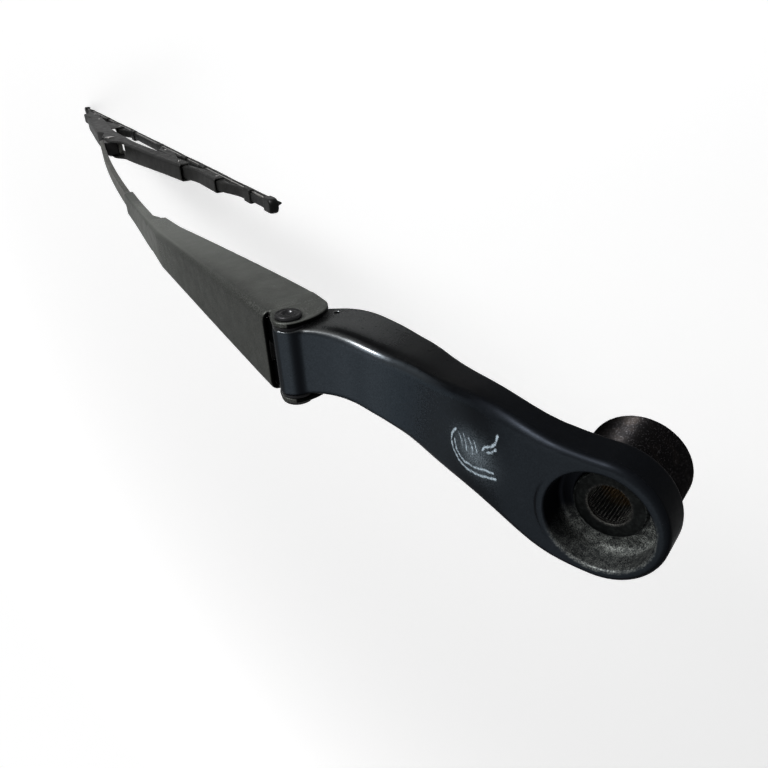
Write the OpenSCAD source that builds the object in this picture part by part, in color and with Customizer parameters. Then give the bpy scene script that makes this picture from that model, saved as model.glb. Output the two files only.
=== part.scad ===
// Windscreen wiper arm with its blade, as removed from a car.
// The cast arm head has an open nut pocket and a boss with a steel splined sleeve for the spindle.
// A sprung sheet-steel retainer is riveted to the head and carries a flat bar with a hooked end.
// The framed blade hangs on the hook: one bridge, two middle yokes, four claw yokes and a rubber.
// Millimetres. Z is the spindle axis and points away from the glass. X runs along the arm.

/* [Spindle eye] */
// radius of the round eye
eye_r = 14.2; // [13.2:0.1:16]
// height of the outer face above the end of the boss
face_z = 25.4; // [24:0.1:27]
// thickness of the eye
eye_t = 10; // [8:0.5:11]
// radius of the nut pocket
pocket_r = 11.4; // [10:0.1:11.9]
// depth of the nut pocket
pocket_d = 7.8; // [6:0.1:8.5]
// radius of the boss behind the eye
boss_r = 11.7; // [10:0.1:12.4]
// radius of the splined bore in the sleeve
bore_r = 4.5; // [4:0.1:5]
// radius of the steel sleeve
sleeve_r = 7.9; // [7:0.1:8.6]
// height of the sleeve's ring above the pocket floor
sleeve_proud = 1.0; // [0.5:0.1:1.5]

/* [Neck of the head] */
// rounding of the neck's outer edges
neck_round = 2.6; // [2:0.1:3.2]
// rounding of the neck's inner edges
rear_round = 1.2; // [0.8:0.1:1.5]
// sideways sway of the neck beside the eye
neck_sway = 2.8; // [1:0.1:3.5]
// lowest height of the outer face, before the hinge
dip_z = 3.7; // [2.5:0.1:5]
// lowest height of the inner face
keel_z = -15; // [-16:0.5:-13]

/* [Hinge] */
// distance from the spindle to the hinge along X
pin_x = 97.7; // [94:0.1:101]
// height of the hinge
pin_z = 6.7; // [6:0.1:7.5]
// sideways offset of the hinge
hinge_y = -4.2; // [-5:0.1:-3]
// width of the head at the hinge
knuckle_w = 20; // [19:0.1:20.4]
// radius of the hinge barrel
knuckle_r = 4.9; // [4.7:0.1:5.2]
// radius of the rivet's shank
rivet_r = 2.5; // [2.2:0.05:2.7]
// radius of the rivet's flat head
rivet_head_r = 3.8; // [3.6:0.1:4.2]
// wall of the plastic bush around the rivet
bush_t = 0.75; // [0.6:0.05:0.8]
// radial play between rivet and bush
rivet_play = 0.05; // [0.03:0.01:0.08]
// thickness of the bush's flange
flange_t = 0.9; // [0.7:0.05:1.0]

/* [Retainer] */
// angle of the retainer below the spindle plane, with the hinge at its stop
drop = 23.6; // [20:0.1:27]
// thickness of the retainer's sheet
sheet_t = 1.5; // [1.2:0.1:1.6]
// height of the web's outer face above the hinge
web_z = 5.3; // [5.2:0.1:6]
// where the web starts, past the hinge
web_start = 7.4; // [7:0.1:8]
// length from the hinge to the end of the broad channel
channel_l = 152; // [145:1:160]
// width at the end of the broad channel
channel_end_w = 14.8; // [13.6:0.1:16]
// depth of the channel at the hinge
channel_d = 19.2; // [18:0.1:20]
// depth of the channel at its far end
channel_end_d = 9; // [8:0.1:10]
// length from the hinge to the end of the crimped tail
tail_l = 222; // [215:1:230]
// slope of the tail below the channel
tail_slope = 4.4; // [3.8:0.1:5]

/* [Flat bar and hook] */
// width of the bar
bar_w = 9; // [8.6:0.1:9.4]
// thickness of the bar
bar_t = 3; // [2.8:0.1:3.2]
// radius of the bar's long bow
bow_r = 2330; // [2100:10:2600]
// bow of the bar
bow_a = 4.9; // [4.6:0.1:5.2]
// inner radius of the hook
hook_r = 4.6; // [4.4:0.1:5]
// length of the hook's free leg
hook_leg = 13; // [10:1:16]

/* [Spring] */
// radius of the closed coil
coil_r = 4.4; // [4:0.1:4.8]
// thickness of the spring wire
wire_d = 1.8; // [1.6:0.1:2]
// number of turns
turns = 38; // [30:1:40]
// radius of the pin that holds the spring link
anchor_r = 2; // [1.8:0.1:2.2]

/* [Blade] */
// length of rubber beyond the last claw at each end
rubber_over = 24; // [20:1:30]
// turn of the blade on its pin
blade_turn = 0; // [-1:0.1:1]
// half length of the bridge
bridge_half = 138; // [134:1:141]
// width of the bridge in the middle
bridge_w = 12.4; // [12.2:0.1:13]
// width of the bridge at its ends
bridge_end_w = 10.4; // [10.3:0.1:11]
// extra height of the bridge's far half, which is fuller than the near half
far_rise = 5; // [0:0.5:5.5]
// sheet of the bridge
bridge_t = 0.9; // [0.8:0.05:0.95]
// half length of a middle yoke
yoke_half = 61; // [58:1:63]
// width of a middle yoke
yoke_w = 8.2; // [8:0.1:8.3]
// width of a claw yoke
claw_yoke_w = 5.8; // [5.6:0.1:6.1]
// sheet of the yokes
yoke_t = 0.8; // [0.7:0.05:0.85]
// length of one claw
claw_l = 9; // [7:0.5:10]

/* [Hidden] */
eye_z = face_z - eye_t;
// eased step from 0 to 1
function ease(t) = let (c = min(1, max(0, t))) c * c * (3 - 2 * c);
// outer and inner face of the neck along X
rise_x = pin_x - 21.7;
keel_rise = 6;
function neck_top(x) = face_z - (face_z - dip_z) * ease((x - 8) / 64)
  + (x > rise_x ? (pin_z + knuckle_r - 0.1 - dip_z) * pow((x - rise_x) / (pin_x - rise_x), 2) : 0);
function neck_low(x) = eye_z - (eye_z - keel_z) * ease((x - 11) / 66)
  + (x > rise_x + 4 ? keel_rise * pow((x - rise_x - 4) / 16, 2) : 0);
function neck_half(x) = eye_r + (knuckle_w / 2 - eye_r) * ease(x / 88);
function neck_y(x) = -neck_sway * sin(180 * ease(x / 54)) + hinge_y * ease((x - 64) / (pin_x - 70));
// rounding of the outer edges: small at the eye, full along the neck, small at the hinge
eye_round = 1.7;
hinge_round = 1.2;
function neck_edge(x) = eye_round + (neck_round - eye_round) * ease((x - 4) / 20)
  - (neck_round - hinge_round) * ease((x - 78) / 20);
// one section of the neck, from its inner right edge round to its inner left edge
function arc(x, y, z, r, from, step, to) = [for (a = [from:step:to]) [x, y + r * cos(a), z + r * sin(a)]];
function neck_ring(x) =
  let (h = neck_half(x), y = neck_y(x), t = neck_top(x), b = neck_low(x), r = neck_edge(x), q = rear_round)
  concat(arc(x, y + h - q, b + q, q, -90, 30, 0), arc(x, y + h - r, t - r, r, 0, 15, 90),
    arc(x, y - h + r, t - r, r, 90, 15, 180), arc(x, y - h + q, b + q, q, 180, 30, 270));
// one section of a folded channel, open below
function fold(x, w, zt, zb, t, ro, ri) = let (h = w / 2)
  concat([[x, h, zb]],
    arc(x, h - ro, zt - ro, ro, 0, 22.5, 90), arc(x, -h + ro, zt - ro, ro, 90, 22.5, 180),
    [[x, -h, zb], [x, -h + t, zb]],
    arc(x, -h + t + ri, zt - t - ri, ri, 180, -22.5, 90), arc(x, h - t - ri, zt - t - ri, ri, 90, -22.5, 0),
    [[x, h - t, zb]]);
// bearing and channel widths
bush_r = rivet_r + rivet_play + bush_t;
ear_gap = 0.1;
inner_w = knuckle_w + 2 * (flange_t + ear_gap);
channel_w = inner_w + 2 * sheet_t;
// anchor of the spring link in the head
anchor_x = pin_x - 5.6;
anchor_z = pin_z - 13.9;
link_slope = drop - 6.6;
link_l = 34;
link_rise = drop - link_slope;
coil_l = turns * wire_d;
mid_r = coil_r - wire_d / 2;
loop_l = 3.2;
coil_start = link_l - 0.2 + mid_r + loop_l;
coil_end = coil_start + coil_l + loop_l + mid_r;
tab_t = 2;
tab_w = 3.8;
tab_l = 8;
tab_u = (coil_end - wire_d / 2 - 1) * cos(link_rise) - tab_t;
slot_w = 5;
// the anchor pin sits in a blind bore, with a small hole through the wall behind it
anchor_wall = 2;
anchor_hole_r = 0.8;
// lugs of the casting that meet the underside of the web at the stop
lug_l = 8.6;
lug_low = 0.2;
lug_in = 3.1;
lug_out = 9.4;
stop_gap = 0.15;
// dome of the rivet's lower head
dome_r = 4.6;
dome_h = 1.7;
// tail of the retainer and the bar in it
bar_start = 160;
tail_w = bar_w + 2 * sheet_t + 0.1;
web_bend = 128;
function web_top(u) = web_z - (u > web_bend ? (u - web_bend) * tan(tail_slope) : 0);
bar_z = web_top(tail_l) - sheet_t - 0.05 - bar_t / 2;
bar_end_u = tail_l + bow_r * (sin(tail_slope + bow_a) - sin(tail_slope));
bar_end_w = bar_z - bow_r * (cos(tail_slope) - cos(tail_slope + bow_a));
hook_mid = hook_r + bar_t / 2;
end_slope = tail_slope + bow_a;
pivot_u = bar_end_u - hook_mid * sin(end_slope);
pivot_w = bar_end_w - hook_mid * cos(end_slope);
// heights of the blade's parts below its pin
bridge_pin_x = bridge_half - 11;
bridge_pin_z = -16.5;
claw_pin_x = yoke_half - 6;
claw_pin_z = -22.4;
claw_long = 44;
claw_short = 36;
claw_rise = min(4, far_rise);
rubber_half = bridge_pin_x + claw_pin_x + claw_long + rubber_over;
blade_pin_r = 2.4;
window_w = bar_w + 0.8;
window_back = 34;
window_front = 16;
spacer_r = 1.4;
small_pin_r = 1.0;
rail_top = -26.2;
rail_t = 0.8;
rail_in = 1.25;
rail_out = 2.9;
rail_inset = 4;
crown_z = -25.4;
lip_z = -33;
// shapes of the bridge and the yokes, over their own middles
saddle_top = 3;
saddle_flat = 14;
saddle_end = 30;
saddle_fall = 5.4;
end_fall = 10.4;
function bridge_top(x) = let (a = abs(x))
  saddle_top - saddle_fall * ease((a - saddle_flat) / (saddle_end - saddle_flat))
  - end_fall * pow(max(0, a - saddle_end) / (bridge_half - saddle_end), 1.1) + far_rise * ease((x - 18) / 26);
function bridge_low(x) = -10.2 - 9.8 * ease((abs(x) - 24) / (bridge_half - 20));
function bridge_wide(x) = bridge_w - (bridge_w - bridge_end_w) * ease((abs(x) - saddle_end) / 90);
function yoke_top(x, rise) = -13.9 + rise - 4.2 * ease(abs(x) / 30);
function yoke_low(x) = -19.0 - 5.6 * ease((abs(x) - 4) / 46);
function claw_fall(x, l) = ease((abs(x) - 4) / (l - claw_l - 6));
function claw_top(x, l, rise = 0) = -19.6 - 4.9 * claw_fall(x, l) + rise * (1 - claw_fall(x, l));
function claw_low(x, l) = max(-25.9, min(claw_top(x, l) - 1.9, -24.2 + 0.4 * ease((abs(x) - 5) / 6)));

module loft(rings, channel = false) {
  n = len(rings[0]);
  m = len(rings);
  points = [for (r = rings) each r];
  sides = [for (k = [0:m - 2]) for (i = [0:n - 1]) let (a = k * n + i, b = k * n + (i + 1) % n) each
    [[a, a + n, b + n], [a, b + n, b]]];
  strips = [for (i = [0:n / 2 - 2]) [i, i + 1, n - 2 - i, n - 1 - i]];
  start = channel ? strips : [[for (i = [0:n - 1]) i]];
  end = channel ? [for (s = strips) [for (i = [3:-1:0]) s[i] + (m - 1) * n]]
    : [[for (i = [n - 1:-1:0]) i + (m - 1) * n]];
  polyhedron(points = points, faces = concat(start, sides, end), convexity = 6);
}

// cylinder along Y, centred
module rod_y(r, l, n = 48) {
  rotate([90, 0, 0]) cylinder(r = r, h = l, center = true, $fn = n);
}

module at_hinge() {
  translate([pin_x, hinge_y, pin_z]) children();
}

module on_arm() {
  at_hinge() rotate([0, drop, 0]) children();
}

module on_blade() {
  on_arm() translate([pivot_u, 0, pivot_w]) rotate([0, blade_turn, 0]) children();
}

// quarter round of radius q at the rim of a turned body of radius r, at height z
function quarter(r, z, q, from, step) = [for (a = [from:step:from + 90])
  [r - q + q * cos(a), z + (from < 0 ? q : -q) + q * sin(a)]];

// cylinder with a chamfer at both ends
module barrel(r, l, c, n) {
  rotate_extrude($fn = n) polygon([[0, 0], [r - c, 0], [r, c], [r, l - c], [r - c, l], [0, l]]);
}

// die-cast head: eye, boss, neck and hinge barrel in one casting
module arm_head() {
  color([0.05, 0.06, 0.10])
  difference() {
    union() {
      rotate_extrude($fn = 96) polygon(concat([[0, eye_z]], quarter(eye_r, eye_z, rear_round, -90, 30),
        quarter(eye_r, face_z, eye_round, 0, 15), [[0, face_z]]));
      barrel(boss_r, eye_z + 1, 0.6, 96);
      loft([for (i = [0:33]) neck_ring(pin_x * i / 33)]);
      at_hinge() rotate([90, 0, 0]) translate([0, 0, -knuckle_w / 2]) barrel(knuckle_r, knuckle_w, 0.8, 64);
      for (s = [-1, 1]) on_arm() translate([0, s * (lug_in + lug_out) / 2 - (lug_out - lug_in) / 2, lug_low])
        cube([lug_l, lug_out - lug_in, web_z - sheet_t - stop_gap - lug_low]);
    }
    translate([0, 0, face_z - pocket_d]) cylinder(r = pocket_r, h = pocket_d + 2, $fn = 96);
    translate([0, 0, -1]) cylinder(r = sleeve_r, h = face_z + 2, $fn = 96);
    at_hinge() rod_y(bush_r, knuckle_w + 4, 64);
    translate([anchor_x, hinge_y + (anchor_wall + 3) / 2, anchor_z])
      rod_y(anchor_r, knuckle_w - anchor_wall + 3);
    translate([anchor_x, hinge_y - knuckle_w / 2, anchor_z]) rod_y(anchor_hole_r, 2 * anchor_wall + 1, 24);
    translate([anchor_x - 6, hinge_y - slot_w / 2, keel_z - 3]) cube([30, slot_w, pin_z - 5.9 - keel_z + 3]);
  }
}

// steel sleeve with the splined bore, proud of the pocket floor
module spline_sleeve() {
  color([0.42, 0.38, 0.33])
  difference() {
    cylinder(r = sleeve_r, h = face_z - pocket_d + sleeve_proud, $fn = 96);
    translate([0, 0, -1]) cylinder(r = bore_r, h = face_z, $fn = 96);
  }
}

module hinge_rivet() {
  head_y = channel_w / 2;
  color([0.10, 0.10, 0.11])
  at_hinge() rotate([90, 0, 0]) rotate_extrude($fn = 64) polygon(concat(
    [[0, head_y + 0.6], [1.6, head_y + 0.9], [1.9, head_y + 1.2], [rivet_head_r - 0.3, head_y + 1.2],
     [rivet_head_r, head_y + 0.9], [rivet_head_r, head_y], [rivet_r, head_y], [rivet_r, -head_y],
     [dome_r, -head_y]],
    [for (a = [20:14:90]) [dome_r * cos(a), -head_y - dome_h * sin(a)]], [[0, -head_y - dome_h]]));
}

module bush(side) {
  at_hinge() rotate([90, 0, 0]) rotate([side > 0 ? 0 : 180, 0, 0]) difference() {
    union() {
      translate([0, 0, knuckle_w / 2]) cylinder(r = knuckle_r - 0.2, h = flange_t, $fn = 64);
      translate([0, 0, 0.5]) cylinder(r = bush_r, h = knuckle_w / 2 - 0.5, $fn = 64);
    }
    cylinder(r = rivet_r + rivet_play, h = knuckle_w, $fn = 64);
  }
}

module bush_upper() {
  color([0.03, 0.03, 0.03]) bush(1);
}

module bush_lower() {
  color([0.03, 0.03, 0.03]) bush(-1);
}

module anchor_pin() {
  l = knuckle_w - anchor_wall - 0.6;
  color([0.35, 0.34, 0.32])
  translate([anchor_x, hinge_y + (anchor_wall - 0.6) / 2, anchor_z]) rod_y(anchor_r, l);
}

// bent link between the anchor pin and the spring
module spring_link() {
  t = 3.0;
  strip_z = -4.2;
  color([0.30, 0.29, 0.28])
  translate([anchor_x, hinge_y, anchor_z]) rotate([0, link_slope, 0]) difference() {
    union() {
      rod_y(anchor_r + 2.4, t);
      translate([0, -t / 2, strip_z]) cube([link_l - 2, t, 3.4]);
      translate([link_l - 5, -t / 2, strip_z]) cube([5, t, 6]);
      translate([link_l, 0, 0]) rod_y(3.8, t);
    }
    rod_y(anchor_r + 0.08, t + 2);
    translate([link_l, 0, 0]) rod_y(1.7, t + 2, 32);
  }
}

// close-wound coil with a hook at each end
module tension_spring() {
  groove_r = mid_r + wire_d / 4;
  edge = wire_d * 0.08;
  color([0.33, 0.32, 0.31])
  translate([anchor_x, hinge_y, anchor_z]) rotate([0, link_slope, 0]) {
    translate([coil_start, 0, 0]) rotate([0, 90, 0]) rotate_extrude($fn = 40) polygon(concat(
      [for (k = [0:turns - 1]) each [[groove_r, k * wire_d + edge], [coil_r, (k + 0.32) * wire_d],
        [coil_r, (k + 0.68) * wire_d], [groove_r, (k + 1) * wire_d - edge]]],
      [[mid_r - wire_d / 2, coil_l - edge], [mid_r - wire_d / 2, edge]]));
    translate([coil_start, 0, 0]) rotate([0, 0, 180]) spring_hook(mid_r);
    translate([coil_start + coil_l, 0, 0]) spring_hook(mid_r);
  }
}

// half loop of wire that closes on itself outside the coil
module spring_hook(r) {
  translate([loop_l, 0, 0]) rotate([0, 0, -90]) rotate_extrude(angle = 180, $fn = 40)
    translate([r, 0]) circle(d = wire_d, $fn = 16);
  for (s = [-1, 1]) translate([-0.6, s * r, 0]) rotate([0, 90, 0])
    cylinder(d = wire_d, h = loop_l + 0.6, $fn = 16);
}

// pressed channel with ears, cut from one sheet and crimped on the bar
module retainer() {
  function deep(u) = channel_d - (channel_d - channel_end_d) * pow(max(0, u - 12) / (channel_l - 12), 1.1);
  function wide(u) = channel_w - (channel_w - channel_end_w) * pow(max(0, u - 10) / (channel_l - 10), 1.2);
  function tail_wide(u) = channel_end_w - (channel_end_w - tail_w) * ease((u - channel_l) / 50);
  function crimp(u) = sheet_t + bar_t + 0.4 + 2.2 * (1 - ease((u - channel_l) / 9));
  ear_l = 12;
  ear_toe = 5.2;
  ear_r = 4.8;
  color([0.16, 0.16, 0.155])
  on_arm() {
    difference() {
      union() {
        loft([for (u = [web_start, 12, 24, 40, 56, 72, 88, 104, 120, 128, 136, 144, channel_l])
          fold(u, wide(u), web_top(u), web_top(u) - deep(u), sheet_t, 2.6, 1.1)], true);
        loft([for (u = [channel_l - 0.5, channel_l + 3, channel_l + 8, 170, 180, 192, 204, tail_l])
          fold(u, tail_wide(u), web_top(u), web_top(u) - crimp(u), sheet_t, 1.9, 0.4)], true);
        for (s = [-1, 1]) translate([0, s * (channel_w - sheet_t) / 2, 0]) {
          rod_y(ear_r, sheet_t);
          rotate([90, 0, 0]) linear_extrude(height = sheet_t, center = true)
            polygon(concat(
              [for (a = [0:10:90]) [ear_toe - (ear_toe + ear_r) * cos(a), (web_z - channel_d) * sin(a)]],
              [[ear_l, web_z - channel_d], [ear_l, web_z - 2.7], [6.4, web_z - 2.7], [4, 4], [1, 4.68],
                [0, ear_r]]));
        }
      }
      rod_y(rivet_r, channel_w + 8, 48);
    }
    // tab bent down from the web, inside the spring's far loop
    translate([tab_u, -tab_w / 2, web_z - sheet_t - tab_l]) cube([tab_t, tab_w, tab_l + 0.2]);
  }
}

// flat bar with a long bow and a U-shaped hook
module flat_bar() {
  slant_l = (tail_l - bar_start) / cos(tail_slope);
  color([0.17, 0.17, 0.16])
  on_arm() {
    translate([tail_l, 0, bar_z]) rotate([0, tail_slope, 0])
      translate([-slant_l, -bar_w / 2, -bar_t / 2]) cube([slant_l + 0.01, bar_w, bar_t]);
    translate([tail_l - bow_r * sin(tail_slope), 0, bar_z - bow_r * cos(tail_slope)]) rotate([90, 0, 0])
      rotate([0, 0, 90 - tail_slope - bow_a]) rotate_extrude(angle = bow_a, $fn = 720)
        translate([bow_r, 0]) square([bar_t, bar_w], center = true);
    translate([pivot_u, 0, pivot_w]) rotate([90, 0, 0]) rotate([0, 0, -90 - end_slope])
      rotate_extrude(angle = 180, $fn = 96) translate([hook_mid, 0]) square([bar_t, bar_w], center = true);
    translate([pivot_u, 0, pivot_w]) rotate([0, end_slope, 0])
      translate([-hook_leg, -bar_w / 2, -hook_mid - bar_t / 2]) cube([hook_leg, bar_w, bar_t]);
  }
}

// plastic clip that fills the hook and turns on the blade pin
module blade_clip() {
  r = hook_r - 0.1;
  color([0.05, 0.05, 0.05])
  on_arm() translate([pivot_u, 0, pivot_w]) difference() {
    rotate([0, end_slope, 0]) union() {
      rod_y(r, bar_w, 48);
      translate([-hook_leg + 1, -bar_w / 2, -r]) cube([hook_leg - 1, bar_w, 2 * r]);
    }
    rod_y(blade_pin_r + 0.06, bar_w + 4, 48);
  }
}

module blade_pin() {
  color([0.30, 0.30, 0.30]) on_blade() {
    rod_y(blade_pin_r, bridge_w + 0.4, 48);
    for (s = [-1, 1]) translate([0, s * (bridge_w / 2 + 0.35), 0]) rod_y(3.4, 0.7, 40);
  }
}

// pressed bridge with an open window for the hook
module bridge() {
  half = concat([saddle_flat, 18, 22, 26, saddle_end],
    [for (k = [1:9]) saddle_end + (bridge_half - saddle_end) * k / 9]);
  xs = concat([for (i = [len(half) - 1:-1:0]) -half[i]], [0], half);
  color([0.055, 0.055, 0.055])
  on_blade() difference() {
    loft([for (x = xs) fold(x, bridge_wide(x), bridge_top(x), bridge_low(x), bridge_t, 1.7, 0.8)], true);
    translate([-window_back, -window_w / 2, -8]) cube([window_back + window_front, window_w, 20]);
    rod_y(blade_pin_r, bridge_w + 4, 48);
    for (s = [-1, 1]) translate([s * bridge_pin_x, 0, bridge_pin_z]) rod_y(small_pin_r, bridge_w + 4, 24);
  }
}

module middle_yoke(side) {
  xs = [-yoke_half, -52, -40, -30, -22, -14, -6, 0, 6, 14, 22, 30, 40, 52, yoke_half];
  rise = side > 0 ? far_rise : 0;
  on_blade() translate([side * bridge_pin_x, 0, 0]) difference() {
    loft([for (x = xs) fold(x, yoke_w, yoke_top(x, rise), yoke_low(x), yoke_t, 1.4, 0.6)], true);
    translate([0, 0, bridge_pin_z]) rod_y(small_pin_r + 0.05, yoke_w + 4, 24);
    for (s = [-1, 1]) translate([s * claw_pin_x, 0, claw_pin_z]) rod_y(small_pin_r, yoke_w + 4, 24);
  }
}

module middle_yoke_near() {
  color([0.06, 0.06, 0.06]) middle_yoke(-1);
}

module middle_yoke_far() {
  color([0.06, 0.06, 0.06]) middle_yoke(1);
}

// small yoke with a claw at each end that grips the two rails
module claw_yoke(x0, l, rise = 0) {
  lip_t = 0.7;
  out_w = 2 * rail_out + 1.6;
  in_w = 2 * rail_out + 0.2;
  throat_w = 4.6;
  grip_z = rail_top - rail_t - 0.1;
  half = [3, 8, l / 2 - 2, l - claw_l - 5, l - claw_l, l];
  xs = concat([for (i = [5:-1:0]) -half[i]], half);
  on_blade() translate([x0, 0, 0]) {
    difference() {
      loft([for (x = xs)
        fold(x, claw_yoke_w, claw_top(x, l, rise), claw_low(x, l), yoke_t - 0.1, 1.1, 0.4)], true);
      translate([0, 0, claw_pin_z]) rod_y(small_pin_r + 0.05, yoke_w + 4, 24);
    }
    for (s = [-1, 1]) translate([s * (l - claw_l / 2), 0, 0]) difference() {
      translate([-claw_l / 2, -out_w / 2, grip_z - lip_t]) cube([claw_l, out_w, 3.3]);
      translate([-claw_l, -in_w / 2, grip_z]) cube([2 * claw_l, in_w, 1.8]);
      translate([-claw_l, -throat_w / 2, grip_z - 1.9]) cube([2 * claw_l, throat_w, 3]);
    }
  }
}

module claw_yoke_1() {
  color([0.06, 0.06, 0.06]) claw_yoke(-bridge_pin_x - claw_pin_x, claw_long);
}

module claw_yoke_2() {
  color([0.06, 0.06, 0.06]) claw_yoke(-bridge_pin_x + claw_pin_x, claw_short);
}

module claw_yoke_3() {
  color([0.06, 0.06, 0.06]) claw_yoke(bridge_pin_x - claw_pin_x, claw_short);
}

module claw_yoke_4() {
  color([0.06, 0.06, 0.06]) claw_yoke(bridge_pin_x + claw_pin_x, claw_long, claw_rise);
}

module bridge_pins() {
  color([0.3, 0.3, 0.3]) on_blade() for (s = [-1, 1]) translate([s * bridge_pin_x, 0, bridge_pin_z])
    rod_y(small_pin_r, bridge_end_w + 0.8, 24);
}

module yoke_pins(side) {
  on_blade() for (s = [-1, 1]) translate([side * bridge_pin_x + s * claw_pin_x, 0, claw_pin_z])
    rod_y(small_pin_r, yoke_w + 0.6, 24);
}

module yoke_pins_near() {
  color([0.3, 0.3, 0.3]) yoke_pins(-1);
}

module yoke_pins_far() {
  color([0.3, 0.3, 0.3]) yoke_pins(1);
}

// plastic spacer rings between the sheets, on the pins
module spacer(w) {
  difference() {
    rod_y(spacer_r, w, 32);
    rod_y(small_pin_r + 0.06, w + 2, 24);
  }
}

module bridge_bushes() {
  color([0.08, 0.08, 0.08]) on_blade() for (s = [-1, 1]) translate([s * bridge_pin_x, 0, bridge_pin_z])
    spacer(yoke_w - 2 * yoke_t - 0.2);
}

module yoke_bushes_near() {
  color([0.08, 0.08, 0.08]) on_blade() for (s = [-1, 1])
    translate([-bridge_pin_x + s * claw_pin_x, 0, claw_pin_z]) spacer(claw_yoke_w - 2 * yoke_t);
}

module yoke_bushes_far() {
  color([0.08, 0.08, 0.08]) on_blade() for (s = [-1, 1])
    translate([bridge_pin_x + s * claw_pin_x, 0, claw_pin_z]) spacer(claw_yoke_w - 2 * yoke_t);
}

// squeegee: crown, grooves for the rails, neck and tapered lip
module rubber() {
  top = rail_top + 0.05;
  low = rail_top - rail_t;
  half = [[2.1, crown_z], [2.1, top], [1.2, top], [1.2, low - 0.05], [2.2, low - 0.05], [2.2, low - 1.2],
    [0.5, low - 1.5], [0.5, low - 2.2], [2.0, low - 2.6], [1.3, low - 3.5], [0.35, lip_z]];
  color([0.03, 0.03, 0.03])
  on_blade() translate([-rubber_half, 0, 0]) rotate([90, 0, 90]) linear_extrude(height = 2 * rubber_half)
    polygon(concat(half, [for (i = [len(half) - 1:-1:0]) [-half[i][0], half[i][1]]]));
}

module rail(side) {
  l = 2 * (rubber_half - rail_inset);
  on_blade() translate([-l / 2, side > 0 ? rail_in : -rail_out, rail_top - rail_t])
    cube([l, rail_out - rail_in, rail_t]);
}

module rail_left() {
  color([0.45, 0.45, 0.45]) rail(-1);
}

module rail_right() {
  color([0.45, 0.45, 0.45]) rail(1);
}

// moulded cap that closes one end of the rubber
module end_cap(side) {
  l = 10;
  over = 6;
  w = 7.4;
  wall = 0.65;
  on_blade() translate([side * (rubber_half + 0.5), 0, 0]) difference() {
    translate([side > 0 ? -over : over - l, -w / 2, rail_top - 3.6]) cube([l, w, 5.1]);
    translate([side > 0 ? -2 * l : -0.4, wall - w / 2, rail_top - 6]) cube([2 * l + 0.4, w - 2 * wall, 6.9]);
  }
}

module end_cap_near() {
  color([0.02, 0.02, 0.02]) end_cap(-1);
}

module end_cap_far() {
  color([0.02, 0.02, 0.02]) end_cap(1);
}

arm_head();
spline_sleeve();
hinge_rivet();
bush_upper();
bush_lower();
anchor_pin();
spring_link();
tension_spring();
retainer();
flat_bar();
blade_clip();
blade_pin();
bridge();
middle_yoke_near();
middle_yoke_far();
claw_yoke_1();
claw_yoke_2();
claw_yoke_3();
claw_yoke_4();
bridge_pins();
yoke_pins_near();
yoke_pins_far();
bridge_bushes();
yoke_bushes_near();
yoke_bushes_far();
rubber();
rail_left();
rail_right();
end_cap_near();
end_cap_far();
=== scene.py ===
import bpy
import numpy as np
from mathutils import Matrix, Vector


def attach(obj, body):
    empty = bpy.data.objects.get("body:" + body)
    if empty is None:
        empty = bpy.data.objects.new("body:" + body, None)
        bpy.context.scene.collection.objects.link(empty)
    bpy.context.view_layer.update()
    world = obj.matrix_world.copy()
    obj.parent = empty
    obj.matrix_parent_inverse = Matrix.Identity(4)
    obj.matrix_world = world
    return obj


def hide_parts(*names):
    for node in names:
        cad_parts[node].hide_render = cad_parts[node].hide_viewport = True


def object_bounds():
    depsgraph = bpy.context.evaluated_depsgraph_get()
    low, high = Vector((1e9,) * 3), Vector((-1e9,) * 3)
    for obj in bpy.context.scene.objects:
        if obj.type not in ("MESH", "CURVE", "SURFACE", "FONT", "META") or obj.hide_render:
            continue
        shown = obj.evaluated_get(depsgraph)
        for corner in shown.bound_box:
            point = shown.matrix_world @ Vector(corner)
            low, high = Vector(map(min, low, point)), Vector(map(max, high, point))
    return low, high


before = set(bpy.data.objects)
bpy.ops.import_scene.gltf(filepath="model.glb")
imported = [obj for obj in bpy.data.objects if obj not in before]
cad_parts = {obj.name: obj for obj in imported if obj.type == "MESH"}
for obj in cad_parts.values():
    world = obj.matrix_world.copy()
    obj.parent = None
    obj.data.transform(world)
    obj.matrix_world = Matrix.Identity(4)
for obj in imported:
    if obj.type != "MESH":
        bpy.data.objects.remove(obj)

bl_info = {
    "name": "Wiper arm with framed blade",
    "version": (1, 0, 0),
    "blender": (4, 5, 0),
    "location": "3D View > Sidebar > Wiper",
    "description": "Surfaces, finishes and studio for a windscreen wiper arm with its blade",
    "category": "Object",
}

CAD_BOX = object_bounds()
MM = 0.001

# Lengths in millimetres that no setting holds.
AXIS_R = 0.004  # radius of the small ring that stands for a point on the axis
SIDE_PLAY = 0.1  # between a bush's flange and the retainer's ear
ANCHOR_BACK, ANCHOR_DOWN = 5.6, 13.9  # from the hinge to the pin that holds the spring link
LINK_L = 34.0  # between the two eyes of the spring link
LEAD = 3.2  # run of the spring's wire out of the coil, before its loop


def length(name, description, value):
    """A length property in metres, from a value in millimetres."""
    return bpy.props.FloatProperty(
        name=name, description=description, default=value * MM, unit="LENGTH", precision=5
    )


def colour(name, description, value):
    """A colour property."""
    return bpy.props.FloatVectorProperty(
        name=name, description=description, default=value, subtype="COLOR", size=3, min=0.0, max=1.0
    )


def share(name, description, value, top=1.0):
    """A plain number from 0 to top."""
    return bpy.props.FloatProperty(
        name=name, description=description, default=value, min=0.0, max=top, subtype="FACTOR"
    )


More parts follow.
